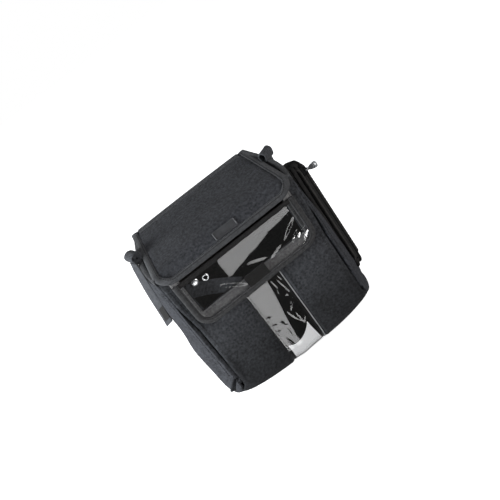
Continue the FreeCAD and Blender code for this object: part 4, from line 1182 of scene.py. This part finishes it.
def lid_outline():
    """The lid's free edge in x and s, from the hinge at the left, round the lip, to the hinge at the right."""
    radius, low, half = LID_CORNER, LID_LENGTH, LID_FRONT_X
    left = [(-lid_half(s), s) for s in np.linspace(0.5, low - radius, 70)]
    left += [(-half + radius - radius * math.cos(a), low - radius + radius * math.sin(a))
             for a in np.linspace(0, math.pi / 2, 26)[1:]]
    straight = [(x, low) for x in np.linspace(radius - half, half - radius, 70)[1:-1]]
    return np.array(left + straight + [(-x, s) for x, s in reversed(left)])


def lid_grid(inset):
    """A grid over the lid whose last rows draw in round the lower corners, and its distance from the edge."""
    low, radius = LID_LENGTH - inset, LID_CORNER - inset
    s = [*np.linspace(0, low - radius, 46)]
    s += [low - radius + radius * math.sin(a) for a in np.linspace(0, math.pi / 2, 20)[1:]]
    edges = np.array(EDGE) / 100
    ss, uu = grid(s, np.unique(np.concatenate([np.linspace(-1, 1, 64), 1 - edges, edges - 1])))
    drawn = np.maximum(ss - (low - radius), 0)
    half = lid_half(ss) - inset - (radius - np.sqrt(np.maximum(radius ** 2 - drawn ** 2, 0)))
    x = uu * half
    return x, ss, np.minimum(half - np.abs(x), LID_LENGTH - ss)


def on_lid(x, s, over, under, map_x=None, map_s=None, keep=None):
    """Cloth on the lid between two heights off its padding, with its map where that is not x and s."""
    return slab(lid_surface(x, s, over)[0], lid_surface(x, s, under)[0], x if map_x is None else map_x,
                s if map_s is None else map_s, keep)


def lid():
    """The padded lid with its lining, folded binding and hinge tape."""
    x, s, to_edge = lid_grid(0.6)
    over = -roll_off(to_edge, 9.0, 0.9) - 0.9 * np.exp(-((to_edge - 8.0) / 0.9) ** 2)
    under = -lid_rise(x, s) * 0.8 - FOAM + roll_off(to_edge, 6.0, 0.8)
    made = piece("lid_padded", on_lid(x, s, over, under), [FABRIC, LINING], "lid", "lid_panel")
    x, s, _ = lid_grid(2.0)
    inside = -lid_rise(x, s) * 0.8 - FOAM
    lining = on_lid(x, s, inside - 0.7 + wobble(x, s, 40, 83) * 0.15, inside + 0.3)
    piece("lid_lining_cloth", lining, LINING, "lid", "lid_lining")
    flat = resample(lid_outline(), 1.6)
    path, normal = lid_surface(flat[:, 0], flat[:, 1], -FOAM / 2)
    bound_edge("lid_edge_tape", path, normal, "lid", "lid_binding", width=8.2, half=FOAM / 2 + 0.2, wrap=1.1)
    low, high = box("lid_hinge_tape")
    depth = 10.5
    ss, xx = grid(spaced(0, depth, 1.3, (0.4, 1.0)), spaced(low[0], high[0], 4.0, (0.5, 1.2)))
    border = np.minimum(np.minimum(xx - low[0], high[0] - xx), depth - ss)
    piece("lid_hinge_tape_cloth", on_lid(xx, ss, 0.85 - roll_off(border, 1.0, 0.5), -0.3), TAPE, "lid",
          "lid_hinge_tape")
    rows = [lid_surface(np.linspace(low[0] + 2, high[0] - 2, 90), 8.3, 0.95)]
    stitched("lid_hinge_tape_stitch", rows, THREAD, "lid")


def badge():
    """A blank raised badge: a soft border round a plain sunk field."""
    low, high = box("lid_badge")
    middle_x, half_x = (low[0] + high[0]) / 2, (high[0] - low[0]) / 2
    middle_s = np.interp(-(low[1] + high[1]) / 2, -LID_PATH[:, 0], LID_ALONG)
    half_s, corner = 6.0, 2.4
    ends = np.arange(0, 3, 0.3)
    x = np.unique(np.concatenate([np.linspace(-half_x, half_x, 50), half_x - ends, ends - half_x]))
    xx, ss = grid(x, np.linspace(-half_s, half_s, 36))
    past_x = np.maximum(np.abs(xx) - (half_x - corner), 0)
    past_s = np.maximum(np.abs(ss) - (half_s - corner), 0)
    inside = np.where((past_x > 0) | (past_s > 0), corner - np.hypot(past_x, past_s),
                      np.minimum(half_x - np.abs(xx), half_s - np.abs(ss)))
    ridge = np.exp(-((inside - 1.2) / 0.6) ** 2) * 0.8
    ribs = 0.16 * np.sin(ss * TURN / 1.6) * ease((inside - 2.2) / 1.0)
    relief = 1.0 * ease(inside / 0.7) + ridge + ribs
    raised = on_lid(xx + middle_x, ss + middle_s, relief - 0.4, -1.2, xx, ss, cells(inside) > 0.0)
    piece("lid_badge_moulded", raised, BADGE, "lid", "lid_badge")


# ---------------------------------------------------------------- the window flap

FLAP_X = flap_high[0]
FLAP_LOW, FLAP_TOP = flap_low[2] + 1.5, flap_high[2]
FLAP_Y = (flap_low[1] + flap_high[1]) / 2
FLAP_CORNER = 20.0
PATCH_TRIM = 2.4     # how much narrower each side of the drawn patches is than their pieces in the design


def flap_bend(x, z):
    """Slow out-of-plane shape of the whole flap, which its binding follows."""
    down = (FLAP_TOP - z) / (FLAP_TOP - FLAP_LOW)
    return -0.9 * down * (1 - (x / FLAP_X) ** 2) + 0.5 * down * np.sin(x / 31.0)


def pane_relief(x, z):
    """Relief of the clear pane: nearly flat, with a sagging line, soft folds and one crumpled corner."""
    inner_x, inner_low = FLAP_X - 6, FLAP_LOW + 6
    fade = ease((inner_x - np.abs(x)) / 9) * ease((z - inner_low) / 7) * ease((FLAP_TOP - z + 2) / 6)
    relief = 0.5 * fade + wobble(x, z, 120, 93) * 0.22 * fade + wobble(x, z, 34, 94) * 0.04 * fade
    low_part = ease((184 - z) / 14) * fade
    relief += low_part * (crease(x, z, (-48, 180), -38, 34, 3.2, 0.7) - crease(x, z, (-36, 176), -40, 30, 3, 0.6))
    relief += low_part * (crease(x, z, (12, 172), -25, 16, 3.0, 0.25) + crease(x, z, (36, 166), 20, 12, 2.6, 0.3))
    relief += fade * crease(x, z, (66, 180), 34, 12, 2.2, 0.6) * ease((x - 40) / 10)
    waves = np.sin(np.hypot(x - 90, z - 146) * TURN / 7.5 + wobble(x, z, 20, 97))
    corner = ease((x - 58) / 10) * ease((176 - z) / 12) * (1.0 + 0.4 * wobble(x, z, 9, 96)) * waves
    return relief + corner * ease((inner_x + 2 - x) / 4) * ease((z - inner_low) / 4)


def window_flap():
    """The clear flap: wrinkled vinyl in a folded binding, with its hinge tape and its hook patch."""
    xx, zz = grid(spaced(-FLAP_X + 2, FLAP_X - 2, 1.3), spaced(FLAP_LOW + 2, FLAP_TOP - 1, 1.3))
    y = FLAP_Y + flap_bend(xx, zz) - pane_relief(xx, zz)
    keep = corner_reach(cells(xx), cells(zz), FLAP_X, FLAP_LOW, FLAP_CORNER) < FLAP_CORNER - 2
    made = piece("window_vinyl", upright(xx, zz, y - 0.25, y + 0.25, keep), VINYL, "window_flap", "window_pane")
    flat = [(-FLAP_X, z) for z in np.linspace(FLAP_TOP, FLAP_LOW + FLAP_CORNER, 30)]
    flat += [(-FLAP_X + FLAP_CORNER * (1 - math.cos(a)), FLAP_LOW + FLAP_CORNER * (1 - math.sin(a)))
             for a in np.linspace(0, math.pi / 2, 20)[1:]]
    flat += [(x, FLAP_LOW) for x in np.linspace(FLAP_CORNER - FLAP_X, 0, 30)[1:]]
    x, z = resample(np.array(flat + [(-x, z) for x, z in reversed(flat[:-1])]), 1.6).T
    path = join(x, FLAP_Y + flap_bend(x, z), z + wobble(x, z, 60, 95) * 0.5)
    bound_edge("window_edge_tape", path, -Y_WAY, "window_flap", "window_binding", width=7.5, half=0.75,
               wrap=0.8, tape=FLAP_TAPE)
    low, high = box("window_hinge_tape")
    xx, zz = grid(spaced(low[0], high[0], 4.0, (0.5, 1.2)), spaced(low[2], high[2], 1.2, (0.4, 1.0)))
    front = FLAP_Y - 1.0 + roll_off(np.minimum(zz - low[2], high[2] - zz), 0.8, 0.4)
    # painted shade: the hinge tape gets the dark tape so that it reads as the shadow under the lid
    piece("window_hinge_tape_cloth", upright(xx, zz, front, FLAP_Y + 1.0), DARK_TAPE, "window_flap",
          "window_hinge_tape")
    pile_patch("window_hook_pile", "hook_patch", "window_flap", HOOK, 1, 1.5, PATCH_TRIM)
    low, high = box("hook_patch_backing")
    xx, zz = grid(spaced(low[0] + PATCH_TRIM, high[0] - PATCH_TRIM, 0.8), spaced(low[2], high[2], 0.8))
    tuft = np.random.RandomState(12).uniform(-0.35, 0.35, xx.shape)
    backing = upright(xx, zz, low[1] + flap_bend(xx, zz) - 1.6 + tuft, high[1])
    piece("window_hook_backing", backing, HOOK, "window_flap", "hook_patch_backing")


# ---------------------------------------------------------------- the hanging strap

# each ply's top and low x, how much shorter it ends, how far it stands to the front, its cloth, and the patch it
# carries; the inner ply is dark tape set forward so that its edge shows as a dark line beside the gusset, painted
# shade for the shadow in that gap
PLIES = (("inner", -111.4, -126.4, 3.0, 1.8, DARK_TAPE, HOOK, "strap_hook_patch", "hook_pile"),
         ("outer", -113.2, -128.8, 0.0, 0.0, WEB, LOOP, "strap_loop_patch", "loop_pile"))


def hanging_strap():
    """Two plies of webbing that hang from the left loop, turned and splayed, with their patches."""
    inner_low, inner_high = box("strap_inner_ply")
    t = np.linspace(0, 1, 60)
    for name, top_x, low_x, shorter, forward, cloth_look, pile_look, patch_node, patch_slot in PLIES:
        low, high = box(f"strap_{name}_ply")
        half = (high[1] - low[1]) / 2
        x = lerp(top_x, low_x, t ** 1.25) - np.sin(t * math.pi * 1.4) * 1.4
        y = (low[1] + high[1]) / 2 + np.sin(t * 2.6) * 1.5 - forward
        path = join(x, y, lerp(inner_high[2] - 8, inner_low[2] + shorter, t))
        turn = np.radians(lerp(20.0, 36.0, ease(t * 1.3)))
        width_way = unit(join(-np.sin(turn), np.cos(turn), -0.5 * ease(t * 1.2)))
        off = unit(np.cross(tangents(path), width_way))
        section = [(-half, -0.4), (-half, 0.4), (-half + 0.8, 0.85), (-half * 0.4, 0.7), (half * 0.4, 0.7),
                   (half - 0.8, 0.85), (half, 0.4), (half, -0.4), (half - 0.8, -0.85), (half * 0.4, -0.7),
                   (-half * 0.4, -0.7), (-half + 0.8, -0.85)]
        band = sweep(path, width_way, off, section, scale=1 - 0.18 * ease((0.12 - t) / 0.12))
        made = piece(f"hand_strap_{name}", band, cloth_look, "hand_strap", f"strap_{name}_ply")
        places = np.linspace(0.74, 0.95, 14)
        path, off, width_way = [read_at(places, t, table) for table in (path, off, width_way)]
        off, width_way = unit(off), unit(width_way)
        facing = (1 if name == "inner" else -1) * (-1 if off[0][0] > 0 else 1)
        section = [(-8, -0.5), (-8, 0.3), (-7, 0.55), (7, 0.55), (8, 0.3), (8, -0.5)]
        patch = sweep(path + off * facing * 1.2, width_way, off, section)
        piece(f"hand_strap_{name}_pile", patch, pile_look, "hand_strap", patch_node)


# ---------------------------------------------------------------- camera, floor and light

def place_in_scene(name, data):
    thing = bpy.data.objects.new(name, data)
    bpy.context.scene.collection.objects.link(thing)
    return thing


def camera():
    """The camera, rolled so that the case leans."""
    azimuth, elevation = math.radians(-4.2), math.radians(26.0)
    distance, roll = 0.950, math.radians(0.9 - 37.3)
    target = Vector((0.016, 0.0, 0.1607))
    level = math.cos(elevation)
    back = Vector((math.sin(azimuth) * level, -math.cos(azimuth) * level, math.sin(elevation)))
    right = (-back).cross(Vector((0, 0, 1))).normalized()
    up = right.cross(-back)
    turned_right = right * math.cos(roll) + up * math.sin(roll)
    turned_up = up * math.cos(roll) - right * math.sin(roll)
    data = bpy.data.cameras.new("camera")
    data.sensor_width, data.lens = 36.0, 51.42
    thing = place_in_scene("camera", data)
    turn = Matrix((turned_right, turned_up, back)).transposed().to_4x4()
    thing.matrix_world = Matrix.Translation(target + back * distance) @ turn
    bpy.context.scene.camera = thing


def area_light(name, place, target, size, power, colour=(1, 1, 1), seen_by=()):
    """A soft light. One that is seen by named pieces lights nothing else."""
    data = bpy.data.lights.new(name, "AREA")
    data.shape, data.size, data.size_y = "RECTANGLE", size[0], size[1]
    data.energy, data.color = power, colour
    thing = place_in_scene(name, data)
    thing.location = place
    thing.rotation_euler = (Vector(target) - Vector(place)).to_track_quat("-Z", "Y").to_euler()
    thing.visible_camera = False
    if seen_by:
        group = bpy.data.collections.new(f"{name}_receivers")
        for piece_name in seen_by:
            group.objects.link(bpy.data.objects[piece_name])
        thing.light_linking.receiver_collection = group


def floor():
    """A large pale floor that glows a little, unseen by the case's gloss and bounce light."""
    mesh = bpy.data.meshes.new("floor")
    reach = 4.0
    corners = [(-reach, -reach, 0), (reach, -reach, 0), (reach, reach, 0), (-reach, reach, 0)]
    mesh.from_pydata(corners, [], [(0, 1, 2, 3)])
    look = Look("floor")
    white = look.tones(look.noise(3.0, 2.0), (0.88, 0.88, 0.88), (0.92, 0.92, 0.92))
    look.feed(look.shader, {"Base Color": white, "Roughness": 0.9, "Emission Color": (1, 1, 1, 1),
                            "Emission Strength": 0.85})
    mesh.materials.append(look.material)
    thing = place_in_scene("floor", mesh)
    thing.visible_glossy = thing.visible_diffuse = False


def world():
    """White for the camera, nearly dark for the gloss, and a weak cool sky for the rest."""
    made = bpy.data.worlds.new("studio")
    bpy.context.scene.world = made
    made.use_nodes = True
    tree = made.node_tree
    path = tree.nodes.new("ShaderNodeLightPath")
    sky = tree.nodes["Background"]
    sky.inputs["Color"].default_value = (0.93, 0.96, 1.0, 1)
    sky.inputs["Strength"].default_value = 0.19
    result = sky.outputs["Background"]
    for ray, strength in (("Is Glossy Ray", 0.10), ("Is Camera Ray", 1.0)):
        plain = tree.nodes.new("ShaderNodeBackground")
        plain.inputs["Color"].default_value = (1, 1, 1, 1)
        plain.inputs["Strength"].default_value = strength
        mix = tree.nodes.new("ShaderNodeMixShader")
        tree.links.new(path.outputs[ray], mix.inputs["Fac"])
        tree.links.new(result, mix.inputs[1])
        tree.links.new(plain.outputs["Background"], mix.inputs[2])
        result = mix.outputs["Shader"]
    tree.links.new(result, tree.nodes["World Output"].inputs["Surface"])


def lights():
    """A soft key at the left, a fill, a back light, and four cards that only named pieces see."""
    area_light("key", (-1.2, -0.27, 0.38), (0, 0, 0.12), (0.6, 0.6), 31.0, (0.95, 0.98, 1.0))
    area_light("fill", (0.9, -0.75, 0.4), (0, 0, 0.1), (0.6, 0.6), 8.6, (1.0, 0.98, 0.96))
    area_light("back", (-0.5, 0.9, 0.9), (0, 0, 0.15), (0.8, 0.8), 3.6)
    pane, strip, metals = ["window_vinyl"], ["front_strip_vinyl"], ["inner_strap_press_stud", "inner_strap_ring"]
    area_light("pane_card", (0.080, -0.545, 0.001), (0.080, -0.545, 1), (0.19, 0.155), 0.26, seen_by=pane)
    area_light("corner_card", (-0.07, -0.475, 0.27), (0.08, -0.065, 0.16), (0.28, 0.28), 3.2, seen_by=pane)
    area_light("stud_card", (-0.06, -0.45, 0.001), (-0.06, -0.45, 1), (0.2, 0.2), 0.6, seen_by=metals)
    area_light("strip_card", (-0.073, -0.27, 0.001), (-0.073, -0.27, 1), (0.16, 0.36), 0.60, seen_by=strip)


# ---------------------------------------------------------------- build

camera()
for which, way in SIDES:
    front_panel(which, way)
    gusset(which, way)
    webbing_loop(which, way)
back_panel()
rear_pipings()
clear_strip()
base_lining()
seam_bindings()
mouth_tape()
pile_patch("mouth_loop_pile", "mouth_loop_patch", "case", LOOP, -1, 1.7)
top_edge_bindings()
hinge_tape()
inner_strap()
pocket()
zip_fastener()
slider()
puller()
lid()
badge()
window_flap()
hanging_strap()
floor()
world()
lights()
bpy.context.scene.view_settings.view_transform = "Standard"
